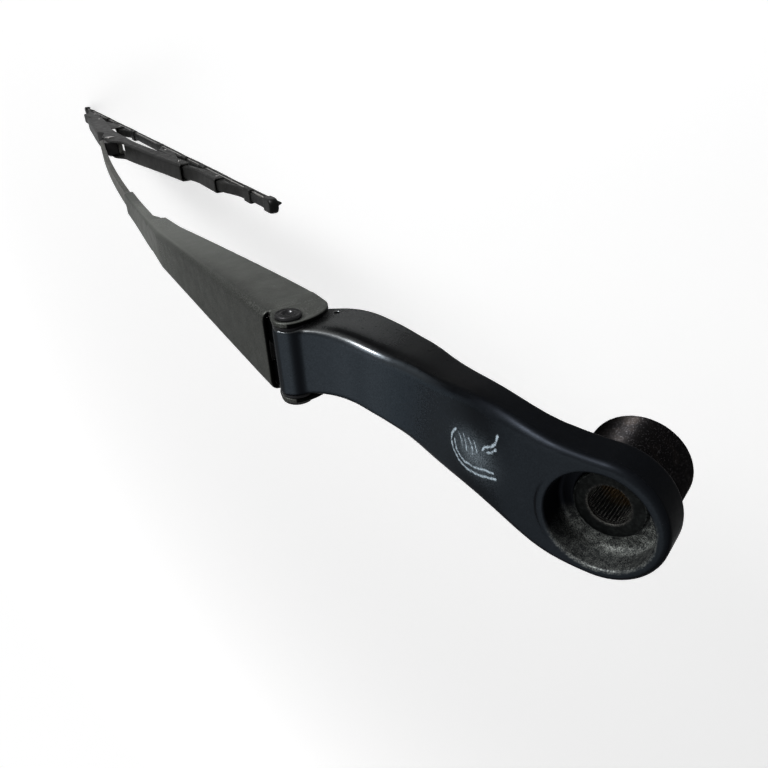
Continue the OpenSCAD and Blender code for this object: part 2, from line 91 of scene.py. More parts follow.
class WiperHeadSizes(bpy.types.PropertyGroup):
    """Sizes of the cast head, its sleeve and its hinge."""

    eye_r: length("Eye radius", "Radius of the round eye", 14.2)
    face_z: length("Face height", "Height of the outer face above the end of the boss", 25.4)
    eye_t: length("Eye thickness", "Thickness of the eye", 10.0)
    pocket_r: length("Pocket radius", "Radius of the nut pocket", 11.4)
    pocket_d: length("Pocket depth", "Depth of the nut pocket", 7.8)
    boss_r: length("Boss radius", "Radius of the boss behind the eye", 11.7)
    bore_r: length("Bore radius", "Mean radius of the splined bore", 4.5)
    sleeve_r: length("Sleeve radius", "Radius of the steel sleeve", 7.9)
    sleeve_proud: length("Ring height", "Height of the sleeve above the pocket floor", 1.0)
    neck_round: length("Neck rounding", "Rounding of the neck's outer edges", 2.6)
    rear_round: length("Rear rounding", "Rounding of the neck's inner edges", 1.2)
    neck_sway: length("Neck sway", "Sideways sway of the neck beside the eye", 2.8)
    dip_z: length("Dip height", "Lowest height of the outer face", 3.7)
    keel_z: length("Keel height", "Lowest height of the inner face", -15.0)
    pin_x: length("Hinge reach", "Distance from the spindle to the hinge", 97.7)
    pin_z: length("Hinge height", "Height of the hinge", 6.7)
    hinge_y: length("Hinge offset", "Sideways offset of the hinge", -4.2)
    knuckle_w: length("Knuckle width", "Width of the head at the hinge", 20.0)
    knuckle_r: length("Knuckle radius", "Radius of the hinge barrel", 4.9)
    rivet_r: length("Rivet radius", "Radius of the rivet's shank", 2.5)
    rivet_head_r: length("Rivet head", "Radius of the rivet's flat head", 3.8)
    dome_r: length("Dome radius", "Radius of the rivet's domed head", 4.6)
    dome_h: length("Dome height", "Height of the rivet's domed head", 1.7)
    bush_t: length("Bush wall", "Wall of the plastic bush", 0.75)
    rivet_play: length("Rivet play", "Radial play between rivet and bush", 0.05)
    flange_t: length("Flange", "Thickness of the bush's flange", 0.9)
    anchor_r: length("Anchor radius", "Radius of the pin that holds the spring link", 2.0)
    anchor_wall: length("Anchor wall", "Wall behind the blind bore of the anchor pin", 2.0)
    anchor_hole_r: length("Anchor hole", "Radius of the small hole through that wall", 0.8)
    slot_w: length("Slot width", "Width of the slot for the spring link", 5.0)
    lug_l: length("Lug length", "Reach of the stop lugs from the hinge", 8.6)
    lug_in: length("Lug inner side", "Distance of a lug's inner side from the middle", 3.1)
    lug_out: length("Lug outer side", "Distance of a lug's outer side from the middle", 10.3)
    splines: bpy.props.IntProperty(name="Splines", description="Splines round the bore", default=36, min=8)


class WiperArmSizes(bpy.types.PropertyGroup):
    """Sizes of the retainer, the bar, its hook and the spring."""

    drop: bpy.props.FloatProperty(
        name="Drop", description="Angle of the arm below the spindle plane",
        default=float(np.radians(23.6)), subtype="ANGLE"
    )
    sheet_t: length("Sheet", "Thickness of the retainer's sheet", 1.5)
    web_z: length("Web height", "Height of the web's outer face above the hinge", 5.3)
    web_start: length("Web start", "Where the web starts, past the hinge", 7.4)
    channel_l: length("Channel length", "From the hinge to the end of the broad channel", 152.0)
    channel_end_w: length("Channel end", "Width at the end of the broad channel", 14.8)
    channel_d: length("Channel depth", "Depth of the channel at the hinge", 19.2)
    channel_end_d: length("End depth", "Depth of the channel at its far end", 9.0)
    tail_l: length("Tail end", "From the hinge to the end of the crimped tail", 222.0)
    web_bend: length("Web bend", "Where the web starts to slope", 128.0)
    tail_slope: bpy.props.FloatProperty(
        name="Tail slope", description="Slope of the tail below the channel",
        default=float(np.radians(4.4)), subtype="ANGLE"
    )
    bar_start: length("Bar start", "Where the bar starts inside the tail", 160.0)
    bar_w: length("Bar width", "Width of the bar", 9.0)
    bar_t: length("Bar thickness", "Thickness of the bar", 3.0)
    bow_r: length("Bow radius", "Radius of the bar's long bow", 2330.0)
    bow_a: bpy.props.FloatProperty(
        name="Bow", description="Angle of the bar's bow", default=float(np.radians(4.9)), subtype="ANGLE"
    )
    hook_r: length("Hook radius", "Inner radius of the hook", 4.6)
    hook_leg: length("Hook leg", "Length of the hook's free leg", 13.0)
    coil_r: length("Coil radius", "Outer radius of the coil", 4.4)
    wire_d: length("Wire", "Thickness of the spring wire", 1.8)
    turns: bpy.props.IntProperty(name="Turns", description="Turns of the spring", default=38, min=4)


class WiperBladeSizes(bpy.types.PropertyGroup):
    """Sizes of the bridge, the yokes and the rubber."""

    rubber_half: length("Rubber half", "Half length of the rubber", 250.0)
    bridge_half: length("Bridge half", "Half length of the bridge", 138.0)
    bridge_w: length("Bridge width", "Width of the bridge in the middle", 12.4)
    bridge_end_w: length("Bridge end", "Width of the bridge at its ends", 10.4)
    bridge_t: length("Bridge sheet", "Sheet of the bridge", 0.9)
    bridge_pin_x: length("Bridge pin", "Distance of the bridge pins from the middle", 127.0)
    bridge_pin_z: length("Bridge pin height", "Height of the bridge pins", -16.5)
    far_rise: length("Far rise", "Extra height of the fuller far half of the frame", 5.0)
    yoke_half: length("Yoke half", "Half length of a middle yoke", 61.0)
    yoke_w: length("Yoke width", "Width of a middle yoke", 8.2)
    yoke_t: length("Yoke sheet", "Sheet of the yokes", 0.8)
    claw_pin_x: length("Claw pin", "Distance of the claw pins from a yoke's middle", 55.0)
    claw_pin_z: length("Claw pin height", "Height of the claw pins", -22.4)
    claw_w: length("Claw yoke width", "Width of a claw yoke", 5.8)
    claw_l: length("Claw length", "Length of one claw", 9.0)
    outer_half: length("Outer claw yoke", "Half length of an outer claw yoke", 44.0)
    inner_half: length("Inner claw yoke", "Half length of an inner claw yoke", 36.0)
    blade_pin_r: length("Blade pin", "Radius of the blade pin", 2.4)
    small_pin_r: length("Small pin", "Radius of the yoke pins", 1.0)
    rail_top: length("Rail height", "Height of the rails' upper face", -26.2)
    rail_t: length("Rail thickness", "Thickness of a rail", 0.8)
    rail_in: length("Rail inner edge", "Distance of a rail's inner edge from the middle", 1.25)
    rail_out: length("Rail outer edge", "Distance of a rail's outer edge from the middle", 2.9)
    crown_z: length("Crown height", "Height of the rubber's crown", -25.4)
    lip_z: length("Lip height", "Height of the rubber's lip", -33.0)


class WiperFinishes(bpy.types.PropertyGroup):
    """Colours and wear of the finishes."""

    head_paint: colour("Head paint", "Gloss paint of the cast head", (0.0052, 0.0060, 0.0075))
    # Dust and painted sheen: the paler tone of the upward outer face.
    slate: colour("Slate film", "Fine dusty film on the outer face", (0.0400, 0.0490, 0.0580))
    boss_metal: colour("Boss", "Dark worn metal of the boss", (0.0050, 0.0048, 0.0050))
    arm_paint: colour("Arm paint", "Satin paint of the retainer", (0.070, 0.073, 0.068))
    # Painted shade: a darker tone for the upward web, which takes more light than the flanks.
    web_painted_shade: colour("Web paint", "Darker satin paint on the retainer's web", (0.030, 0.032, 0.029))
    bar_paint: colour("Bar paint", "Satin paint of the bar", (0.072, 0.072, 0.066))
    blade_paint: colour("Blade paint", "Satin paint of the blade frame", (0.024, 0.024, 0.0235))
    steel: colour("Steel", "Bare steel of pins and spring", (0.30, 0.29, 0.28))
    rust: colour("Rust", "Rust in the splined bore", (0.080, 0.048, 0.014))
    rubber: colour("Rubber", "Rubber of the blade", (0.012, 0.012, 0.012))
    dust: colour("Dust", "Dust and chalky wear", (0.42, 0.45, 0.48))
    wear: share("Wear", "How much wear and dust shows", 1.0)


class WiperStudio(bpy.types.PropertyGroup):
    """The studio's light and floor."""

    key: bpy.props.FloatProperty(name="Key light", description="Power of the key light", default=4.2, unit="POWER")
    fill: bpy.props.FloatProperty(name="Fill light", description="Power of the fill light", default=2.2, unit="POWER")
    glint: bpy.props.FloatProperty(
        name="Glint", description="Power of the small lamp that shows only in gloss", default=18.0, unit="POWER"
    )
    ambient: share("Ambient", "Strength of the light from all round", 0.3, 2.0)
    floor: colour("Floor", "Colour of the floor", (0.92, 0.92, 0.92))


def sizes(group):
    """The lengths of a property group in millimetres, its angles and counts as they are, by name."""
    found = {}
    for key, prop in group.bl_rna.properties.items():
        if prop.type == "FLOAT" and not prop.is_array:
            value = getattr(group, key)
            found[key] = value / MM if prop.unit == "LENGTH" else value
        elif prop.type == "INT":
            found[key] = getattr(group, key)
    return type("Sizes", (), found)


# ---- distances and curves, all in millimetres


def ease(t):
    """Step from 0 to 1 with level ends: three t squared less two t cubed."""
    t = np.clip(t, 0.0, 1.0)
    return t * t * (3.0 - 2.0 * t)


def power(t, n):
    """t to the power n, and 0 below 0."""
    return np.maximum(t, 0.0) ** n


def join(a, b, k):
    """Union of two distance fields with a fillet about k wide: the smaller one, less a parabola near equality."""
    h = np.clip(0.5 + 0.5 * (b - a) / k, 0.0, 1.0)
    return b + (a - b) * h - k * h * (1.0 - h)


def meet(a, b, k):
    """Intersection of two distance fields with an edge rounded over k."""
    return -join(-a, -b, k)


def cut(a, b, k):
    """Distance field a without b, with an edge rounded over k."""
    return -join(-a, b, k)


def rounded(u, v, hu, hv, r):
    """Distance to a rectangle of half sizes hu and hv whose corners have radius r."""
    a = np.abs(u) - hu + r
    b = np.abs(v) - hv + r
    return np.minimum(np.maximum(a, b), 0.0) + np.hypot(np.maximum(a, 0.0), np.maximum(b, 0.0)) - r


def to_segment(u, v, start, end):
    """Distance from (u, v) to the straight between two points."""
    ax, ay = start
    ex, ey = end[0] - ax, end[1] - ay
    t = np.clip(((u - ax) * ex + (v - ay) * ey) / (ex * ex + ey * ey), 0.0, 1.0)
    return np.hypot(u - ax - t * ex, v - ay - t * ey)


def polygon(u, v, corners):
    """Signed distance to a closed polygon: the least distance to its sides, negative inside by crossing count."""
    best = np.full(np.broadcast(u, v).shape, np.inf)
    inside = np.zeros(best.shape, bool)
    for a, b in zip(corners, corners[1:] + corners[:1]):
        best = np.minimum(best, to_segment(u, v, a, b))
        slope = (b[0] - a[0]) / (b[1] - a[1]) if abs(b[1] - a[1]) > 1e-9 else 0.0
        inside ^= ((a[1] > v) != (b[1] > v)) & (u < a[0] + (v - a[1]) * slope)
    return np.where(inside, -best, best)


def steps(*stretches):
    """Grid lines from (start, end, step) stretches that follow on from each other."""
    lines = [np.linspace(a, b, max(2, int(round((b - a) / s)) + 1)) for a, b, s in stretches]
    return np.unique(np.round(np.concatenate(lines), 4))


# ---- meshes


def new_piece(name, points, faces, place):
    """Mesh object from points in millimetres, placed by a 4 by 4 matrix in the row frame."""
    world = points @ place[:3, :3].T + place[:3, 3]
    mesh = bpy.data.meshes.new(name)
    mesh.vertices.add(len(world))
    mesh.vertices.foreach_set("co", (world * MM).astype(np.float32).ravel())
    mesh.loops.add(faces.size)
    mesh.loops.foreach_set("vertex_index", faces.astype(np.int32).ravel())
    mesh.polygons.add(len(faces))
    mesh.polygons.foreach_set("loop_start", (np.arange(len(faces)) * faces.shape[1]).astype(np.int32))
    mesh.update(calc_edges=True)
    mesh.validate()
    mesh.polygons.foreach_set("use_smooth", np.ones(len(mesh.polygons), bool))
    piece = bpy.data.objects.new(name, mesh)
    bpy.context.scene.collection.objects.link(piece)
    return piece


def skin(field, xs, ys, zs):
    """Closed surface where field(x, y, z) is zero, as points and quads.
    The field is sampled on the corners of a grid of cells. Each cell that the surface crosses gets one point,
    the mean of the crossings on its edges, then moved onto the surface along the field's slope.
    Each grid edge that the surface crosses gets the quad of the four cells around it."""
    grid = np.meshgrid(xs, ys, zs, indexing="ij")
    value = field(*grid)
    inside = value < 0.0
    cells = tuple(n - 1 for n in value.shape)
    total = np.zeros(cells + (3,))
    count = np.zeros(cells)
    crossings = []
    for axis in range(3):
        low = tuple(slice(None, -1) if a == axis else slice(None) for a in range(3))
        high = tuple(slice(1, None) if a == axis else slice(None) for a in range(3))
        crossed = inside[low] != inside[high]
        span = value[low] - value[high]
        t = np.where(crossed, value[low] / np.where(crossed, span, 1.0), 0.0)
        for b in (0, 1):
            for c in (0, 1):
                pick = [slice(None)] * 3
                pick[(axis + 1) % 3] = slice(b, b + cells[(axis + 1) % 3])
                pick[(axis + 2) % 3] = slice(c, c + cells[(axis + 2) % 3])
                pick = tuple(pick)
                count += crossed[pick]
                for d in range(3):
                    start = grid[d][low][pick]
                    part = start + t[pick] * (grid[d][high][pick] - start)
                    total[..., d] += np.where(crossed[pick], part, 0.0)
        crossings.append((axis, crossed, inside[low]))
    active = count > 0
    points = total[active] / count[active][:, None]
    number = np.full(cells, -1)
    number[active] = np.arange(len(points))
    quads = []
    for axis, crossed, first_inside in crossings:
        b, c = (axis + 1) % 3, (axis + 2) % 3
        where = np.argwhere(crossed)
        at = [where[:, 0], where[:, 1], where[:, 2]]
        keep = (at[b] > 0) & (at[b] < cells[b]) & (at[c] > 0) & (at[c] < cells[c])
        at = [a[keep] for a in at]
        ring = []
        for db, dc in ((-1, -1), (0, -1), (0, 0), (-1, 0)):
            cell = list(at)
            cell[b] = at[b] + db
            cell[c] = at[c] + dc
            ring.append(number[cell[0], cell[1], cell[2]])
        ring = np.stack(ring, 1)
        outward = first_inside[at[0], at[1], at[2]]
        quads.append(np.where(outward[:, None], ring, ring[:, ::-1]))
    nudge = 0.02
    least_steep = 0.2
    furthest = 0.4 * min(np.min(np.diff(a)) for a in (xs, ys, zs))
    for _ in range(4):
        sides = [field(*(points + e).T) - field(*(points - e).T) for e in nudge * np.eye(3)]
        slope = np.stack(sides, 1) / (2 * nudge)
        steep = np.maximum((slope**2).sum(1), least_steep**2)
        move = -slope * (field(*points.T) / steep)[:, None]
        far = np.linalg.norm(move, axis=1)
        move *= np.minimum(1.0, furthest / np.maximum(far, 1e-9))[:, None]
        points = points + move
    return points, np.concatenate(quads)


def carried(profile, centres, across, up):
    """A closed profile carried along an open path, with closed ends.
    Point j of section i is centre i, plus the profile's first value times across i, plus its second times up i."""
    wide, high = profile[None, :, :1], profile[None, :, 1:]
    return closed_tube(centres[:, None] + wide * across[:, None] + high * up[:, None])


def tube_quads(rings, loops=False):
    """Quads between neighbouring rings of points and, if it loops, from the last ring back to the first."""
    n, m = rings.shape[:2]
    i, j = np.meshgrid(np.arange(n if loops else n - 1), np.arange(m), indexing="ij")
    k, l = (j + 1) % m, (i + 1) % n
    return np.stack([i * m + j, i * m + k, l * m + k, l * m + j], -1).reshape(-1, 4)


def lid(rings, row):
    """A strip of quads across one of the rings."""
    m = rings.shape[1]
    half = np.arange(m // 2 - 1)
    return np.stack([half, half + 1, m - 2 - half, m - 1 - half], 1) + row * m


def capped(rings):
    """Points and quads of an open tube through the rings with a lid on the last one."""
    return rings.reshape(-1, 3), np.concatenate([tube_quads(rings), lid(rings, len(rings) - 1)])


def sealed(rings):
    """Points and quads of a tube through the rings with a lid on both ends."""
    lids = [lid(rings, 0)[:, ::-1], lid(rings, len(rings) - 1)]
    return rings.reshape(-1, 3), np.concatenate([tube_quads(rings), *lids])


def closed_tube(rings):
    """Points and quads of a tube through the rings, each end closed by ever smaller copies of its ring."""
    ends = []
    for ring in (rings[0], rings[-1]):
        middle = ring.mean(0)
        ends.append(np.stack([middle + (ring - middle) * s for s in (0.5, 0.02)]))
    return sealed(np.concatenate([ends[0][::-1], rings, ends[1]]))


def closed_ring(rings):
    """Points and quads of rows of points that close on themselves both ways."""
    return rings.reshape(-1, 3), tube_quads(rings, loops=True)


def spun(radius, height, count):
    """Rings of points on a profile of radii and heights, given as columns, spun about the third axis."""
    a = np.linspace(0, 2 * np.pi, count, endpoint=False)
    radius = np.maximum(radius, AXIS_R)
    return np.stack([radius * np.cos(a), radius * np.sin(a), np.repeat(height, count, 1)], -1)


def turned(profile, count=72):
    """A profile of (radius, height) turned about the third axis, closed at both ends on the axis."""
    profile = np.asarray(profile, float)
    return sealed(spun(profile[:, :1], profile[:, 1:], count))


def turned_ring(profile, count=72):
    """A closed profile of (radius, height) turned about the third axis into a ring."""
    return closed_ring(spun(profile[:, :1], profile[:, 1:], count))


def facing_out(points, quads):
    """The closed surface with its corners in the order that turns every face outward. Over all quads, the sum of the
    corners dotted with the cross product of the diagonals adds up to 24 times the volume, so it must be above zero."""
    a, b, c, d = (points[quads[:, k]] for k in range(4))
    volume = np.einsum("ij,ij->i", a + b + c + d, np.cross(c - a, d - b)).sum()
    return points, quads if volume > 0 else quads[:, ::-1]


def softened(corners, r, count=4):
    """A polygon's corners replaced by arcs that start r away from each corner, as quadratic curves."""
    pts = np.asarray(corners, float)
    before, after = np.roll(pts, 1, 0), np.roll(pts, -1, 0)
    t = np.linspace(0, 1, count)
    out = []
    for a, b, c in zip(before, pts, after):
        near = min(r, 0.45 * np.linalg.norm(a - b), 0.45 * np.linalg.norm(c - b))
        p = b + (a - b) / np.linalg.norm(a - b) * near
        q = b + (c - b) / np.linalg.norm(c - b) * near
        out.append((1 - t)[:, None] ** 2 * p + (2 * t * (1 - t))[:, None] * b + t[:, None] ** 2 * q)
    return np.concatenate(out)


def flat_profile(w, t, r, count):
    """A rectangle of half sizes w and t with softened corners."""
    return softened([(-w, -t), (w, -t), (w, t), (-w, t)], r, count)


# ---- places: matrices from a part's own axes to the row frame, in millimetres


def shift(x, y, z):
    """A move by x, y and z."""
    m = np.eye(4)
    m[:3, 3] = (x, y, z)
    return m


def pitch(angle):
    """A turn about +Y that takes +X towards -Z."""
    c, s = np.cos(angle), np.sin(angle)
    m = np.eye(4)
    m[0, 0], m[0, 2], m[2, 0], m[2, 2] = c, s, -s, c
    return m


def along_y():
    """Takes the third axis to +Y, and the first two to -X and +Z."""
    m = np.zeros((4, 4))
    m[0, 0], m[2, 1], m[1, 2], m[3, 3] = -1, 1, 1, 1
    return m


def hook_values(a):
    """Height of the bar's middle in the tail, its slope at the hook, and the hook's centre and middle radius."""
    bar_z = web_top(a, a.tail_l) - a.sheet_t - 0.05 - a.bar_t / 2
    end = a.tail_slope + a.bow_a
    end_u = a.tail_l + a.bow_r * (np.sin(end) - np.sin(a.tail_slope))
    end_w = bar_z - a.bow_r * (np.cos(a.tail_slope) - np.cos(end))
    middle = a.hook_r + a.bar_t / 2
    return bar_z, end, (end_u - middle * np.sin(end), end_w - middle * np.cos(end)), middle


def places(h, a):
    """The matrices of the hinge, the arm and the blade."""
    hinge = shift(h.pin_x, h.hinge_y, h.pin_z)
    arm = hinge @ pitch(a.drop)
    pivot_u, pivot_w = hook_values(a)[2]
    return hinge, arm, arm @ shift(pivot_u, 0, pivot_w)


def anchor_place(h):
    """The matrix of the pin that holds the spring link, unturned."""
    return shift(h.pin_x - ANCHOR_BACK, h.hinge_y, h.pin_z - ANCHOR_DOWN)


# ---- the cast head, its sleeve and its hinge


def neck_top(h, x):
    """Outer face of the neck: it eases down to the dip, then rises as a parabola to the hinge barrel."""
    fall_x, fall_l, rise_x = 8, 64, 76
    rise = h.pin_z + h.knuckle_r - 0.1 - h.dip_z
    level = h.face_z - (h.face_z - h.dip_z) * ease((x - fall_x) / fall_l)
    return level + rise * power((x - rise_x) / (h.pin_x - rise_x), 2)


def neck_low(h, x):
    """Inner face of the neck: it eases down to the keel, then rises as a parabola."""
    fall_x, fall_l, rise_x, rise_l, rise = 11, 66, 80, 16, 6
    eye_z = h.face_z - h.eye_t
    return eye_z - (eye_z - h.keel_z) * ease((x - fall_x) / fall_l) + rise * power((x - rise_x) / rise_l, 2)


def bush_radius(h):
    """Outer radius of the bushes, which is the radius of the hinge bore."""
    return h.rivet_r + h.rivet_play + h.bush_t


def head_field(h, a):
    """Distance to the casting: eye, boss, neck, barrel and stop lugs joined with fillets,
    less pocket, bore, slot and holes."""
    eye_z = h.face_z - h.eye_t
    eye_mid = (h.face_z + eye_z) / 2
    floor_z = h.face_z - h.pocket_d
    face_round, hinge_round = 1.7, 1.2
    tall = 20  # half the height of the pocket's cutter, which ends well above the face
    lug_mid, lug_half = (h.lug_in + h.lug_out) / 2, (h.lug_out - h.lug_in) / 2
    lug_top = a.web_z - a.sheet_t - 0.15
    anchor_x, anchor_z = h.pin_x - ANCHOR_BACK, h.pin_z - ANCHOR_DOWN
    blind = h.hinge_y - h.knuckle_w / 2 + h.anchor_wall
    slot_back, slot_down = 6, 5.9

    def field(x, y, z):
        top, low = neck_top(h, x), neck_low(h, x)
        mid = (top + low) / 2
        half = h.eye_r + (h.knuckle_w / 2 - h.eye_r) * ease(x / 88)
        side = -h.neck_sway * np.sin(np.pi * ease(x / 54)) + h.hinge_y * ease((x - 64) / (h.pin_x - 70))
        edge = face_round + (h.neck_round - face_round) * ease((x - 4) / 20)
        edge -= (h.neck_round - hinge_round) * ease((x - 78) / 20)
        neck = rounded(y - side, z - mid, half, (top - low) / 2, np.where(z > mid, edge, h.rear_round))
        neck = np.maximum(neck, np.maximum(-x, x - h.pin_x))
        rho = np.hypot(x, y)
        eye = rounded(rho, z - eye_mid, h.eye_r, h.eye_t / 2, np.where(z > eye_mid, face_round, h.rear_round))
        boss = rounded(rho, z - (eye_z + 1) / 2, h.boss_r, (eye_z + 1) / 2, 0.7)
        du, dw = x - h.pin_x, z - h.pin_z
        from_hinge = np.hypot(du, dw)
        barrel = rounded(from_hinge, y - h.hinge_y, h.knuckle_r, h.knuckle_w / 2, 0.8)
        body = join(join(np.minimum(neck, eye), boss, 1.6), barrel, 1.0)
        body = cut(body, rounded(rho, z - floor_z - tall, h.pocket_r, tall, 1.0), 0.7)
        body = cut(body, rho - h.sleeve_r, 0.15)
        body = cut(body, from_hinge - bush_radius(h), 0.15)
        along = du * np.cos(a.drop) - dw * np.sin(a.drop)
        above = du * np.sin(a.drop) + dw * np.cos(a.drop)
        block = rounded(along - h.lug_l / 2, above - lug_top / 2 - 0.1, h.lug_l / 2, lug_top / 2 - 0.1, 0.5)
        lug = np.abs(np.abs(y - h.hinge_y) - lug_mid) - lug_half
        body = join(body, np.maximum(block, lug), 0.4)
        from_anchor = np.hypot(x - anchor_x, z - anchor_z)
        body = cut(body, np.maximum(from_anchor - h.anchor_r, blind - y), 0.15)
        body = cut(body, from_anchor - h.anchor_hole_r, 0.2)
        slot = np.maximum(anchor_x - slot_back - x, dw + slot_down)
        return cut(body, np.maximum(np.abs(y - h.hinge_y) - h.slot_w / 2, slot), 0.5)

    return field


def make_head(h, a):
    """The cast head as the zero surface of its distance field, on a grid finest at the eye and the hinge."""
    xs = steps((-15.2, 46.0, 0.42), (46.0, 82.0, 0.7), (82.0, 109.0, 0.42))
    ys = steps((-18.9, 15.5, 0.43))
    zs = steps((-15.9, 26.2, 0.43))
    return skin(head_field(h, a), xs, ys, zs)


def make_sleeve(h):
    """Sleeve with splines: a flat ring with small chamfers, and a bore whose radius is a softened triangle wave
    round the axis that fades out at both ends."""
    top = h.face_z - h.pocket_d + h.sleeve_proud
    r, b = h.sleeve_r, h.bore_r
    outside = [(r - 0.5, 0.0), (r, 0.5), (r, top - 1.6), (r, top - 1.02), (r - 0.02, top - 0.4),
               (r - 0.12, top - 0.12), (r - 0.4, top), (r - 1.1, top - 0.02), (b + 1.1, top - 0.02),
               (b + 0.42, top), (b + 0.2, top - 0.1), (b + 0.05, top - 0.4)]
    bore = [(b, z) for z in (*np.linspace(top - 0.8, 1.6, 22), 1.1, 0.6)] + [(b + 0.5, 0.0)]
    profile = np.array(outside + bore)
    count = h.splines * 10
    angle = np.linspace(0, 2 * np.pi, count, endpoint=False)
    wave = np.abs((angle * h.splines / (2 * np.pi)) % 1 - 0.5) * 4 - 1
    wave = np.sin(wave * np.pi / 2 * 0.9)
    fade = ease(profile[:, 1] / 1.5) * ease((top - 0.5 - profile[:, 1]) / 0.9)
    fade[: len(outside)] = 0.0
    spline_half = 0.26
    radius = profile[:, :1] + spline_half * fade[:, None] * wave[None, :]
    return closed_ring(spun(radius, profile[:, 1:], count))


def make_rivet(h, a):
    """The rivet: a flat head with a hollow middle and two raised rims, the shank, and a domed head."""
    y = channel_width(h, a) / 2
    r = h.rivet_head_r
    flat = [
        (0.0, 0.55), (0.9, 0.58), (1.4, 0.72), (1.7, 1.0), (1.9, 1.18), (2.1, 1.2), (2.4, 1.08), (r - 0.75, 1.05),
        (r - 0.55, 1.16), (r - 0.35, 1.2), (r - 0.12, 1.1), (r, 0.85), (r, 0.5), (r, 0.02),
    ]
    shank = [(h.rivet_r, -y), (h.rivet_r, -y + 0.3), (h.rivet_r, y - 0.3), (h.rivet_r, y)]
    dome = [(h.dome_r - 0.04, y + 0.02)]
    for t in np.radians([4, 14, 24, 34, 46, 58, 70, 80, 87]):
        dome.append((h.dome_r * np.cos(t), y + h.dome_h * np.sin(t)))
    profile = [(q, -y - z) for q, z in flat] + shank + dome + [(0.0, y + h.dome_h)]
    return turned(profile[::-1])


def make_bush(h):
    """A flanged bush in one half of the hinge bore."""
    low, top = h.knuckle_w / 2 + 0.02, h.knuckle_w / 2 + h.flange_t
    bore, wall, flange = h.rivet_r + h.rivet_play, bush_radius(h) - 0.02, h.knuckle_r - 0.2
    corners = [(bore, 0.5), (wall, 0.5), (wall, low), (flange, low), (flange, top), (bore, top)]
    return turned_ring(softened(corners, 0.15, 3))


def make_anchor_pin(h):
    """The pin that holds the spring link, with chamfered ends."""
    low, high = h.anchor_wall - h.knuckle_w / 2 + 0.02, h.knuckle_w / 2 - 0.6
    r = h.anchor_r - 0.02
    profile = [(0, low), (r - 0.3, low), (r, low + 0.3), (r, high - 0.3), (r - 0.3, high), (0, high)]
    return turned(profile[::-1], 48)


# ---- the retainer, the bar and the spring


def web_top(a, u):
    """Outer face of the web: level up to the bend, then sloping down."""
    return a.web_z - np.maximum(u - a.web_bend, 0.0) * np.tan(a.tail_slope)


def channel_width(h, a):
    """Outer width of the retainer at the hinge: the head, both flanges with their play, and both ears."""
    return h.knuckle_w + 2 * (h.flange_t + SIDE_PLAY) + 2 * a.sheet_t


def retainer_field(h, a):
    """Distance to the pressed sheet: a shell between an open rounded box and the same box one sheet smaller,
    whose width and depth shrink along the arm, plus the two ears and the spring's tab, less the rivet's holes."""
    channel_w = channel_width(h, a)
    tail_w = a.bar_w + 2 * a.sheet_t + 0.1
    low, shoulder = a.web_z - a.channel_d, a.web_z - 2.7
    ear_r = 4.8
    ear = [(5.2 - 10.0 * np.cos(t), low * np.sin(t)) for t in np.radians(np.arange(0, 91, 6))]
    ear += [(14, low), (14, shoulder), (6.4, shoulder), (4, 4), (1, 4.68), (0, ear_r)]
    tall = 40  # half the height of the box that the shell is taken from, cut off at the lower edge
    fold_r, tail_fold_less = 2.6, 0.7
    edge = 0.35  # rounding of the sheet's cut edges
    tab_w, tab_l, tab_d = 1.9, 1.0, 8

    def field(u, v, w):
        past = u - a.channel_l
        wide = channel_w - (channel_w - a.channel_end_w) * power((u - 10) / (a.channel_l - 10), 1.2)
        tail = a.channel_end_w - (a.channel_end_w - tail_w) * ease(past / 50)
        deep = a.channel_d - (a.channel_d - a.channel_end_d) * power((u - 12) / (a.channel_l - 12), 1.1)
        crimp = a.sheet_t + a.bar_t + 0.4 + 2.2 * (1 - ease(past / 9))
        step = ease((past + 0.6) / 1.2)
        width = np.where(u < a.channel_l, wide, tail)
        depth = deep * (1 - step) + crimp * step
        top = web_top(a, u)
        bend = fold_r - tail_fold_less * ease((past + 3) / 6)
        outer = rounded(v, w - top + tall, width / 2, tall, bend)
        shell = np.abs(outer + a.sheet_t / 2) - a.sheet_t / 2
        shell = meet(shell, top - depth - w, edge)
        shell = meet(shell, np.maximum(a.web_start - u, u - a.tail_l), edge)
        ears = np.minimum(polygon(u, w, ear), np.hypot(u, w) - ear_r)
        plate = np.abs(np.abs(v) - (channel_w - a.sheet_t) / 2) - a.sheet_t / 2
        both = join(shell, meet(plate, ears, edge), 0.12)
        tab = np.maximum(
            np.maximum(np.abs(v) - tab_w, np.abs(u - tab_place(a)) - tab_l),
            np.maximum(w - a.web_z + 0.6, a.web_z - a.sheet_t - tab_d - w),
        )
        return cut(join(both, tab, 0.3), np.hypot(u, w) - h.rivet_r, 0.2)

    return field


def link_values(a):
    """Slope of the spring link, the coil's middle radius, its start from the anchor pin, and its length."""
    slope = a.drop - np.radians(6.6)
    mid_r = a.coil_r - a.wire_d / 2
    start = LINK_L - 0.2 + mid_r + LEAD
    return slope, mid_r, start, a.turns * a.wire_d


def tab_place(a):
    """Middle of the retainer's tab along the arm, inside the spring's far loop."""
    slope, mid_r, start, coil_l = link_values(a)
    end = start + coil_l + LEAD + mid_r
    return (end - a.wire_d / 2 - 1) * np.cos(a.drop - slope) - 1.0


def make_retainer(h, a):
    """The retainer as the zero surface of its distance field."""
    us = steps((-6.2, 16.0, 0.4), (16.0, 146.0, 1.3), (146.0, 164.0, 0.5), (164.0, 223.2, 1.2))
    vs = steps((-13.8, 13.8, 0.38))
    ws = steps((-14.9, 6.4, 0.38))
    return skin(retainer_field(h, a), us, vs, ws)


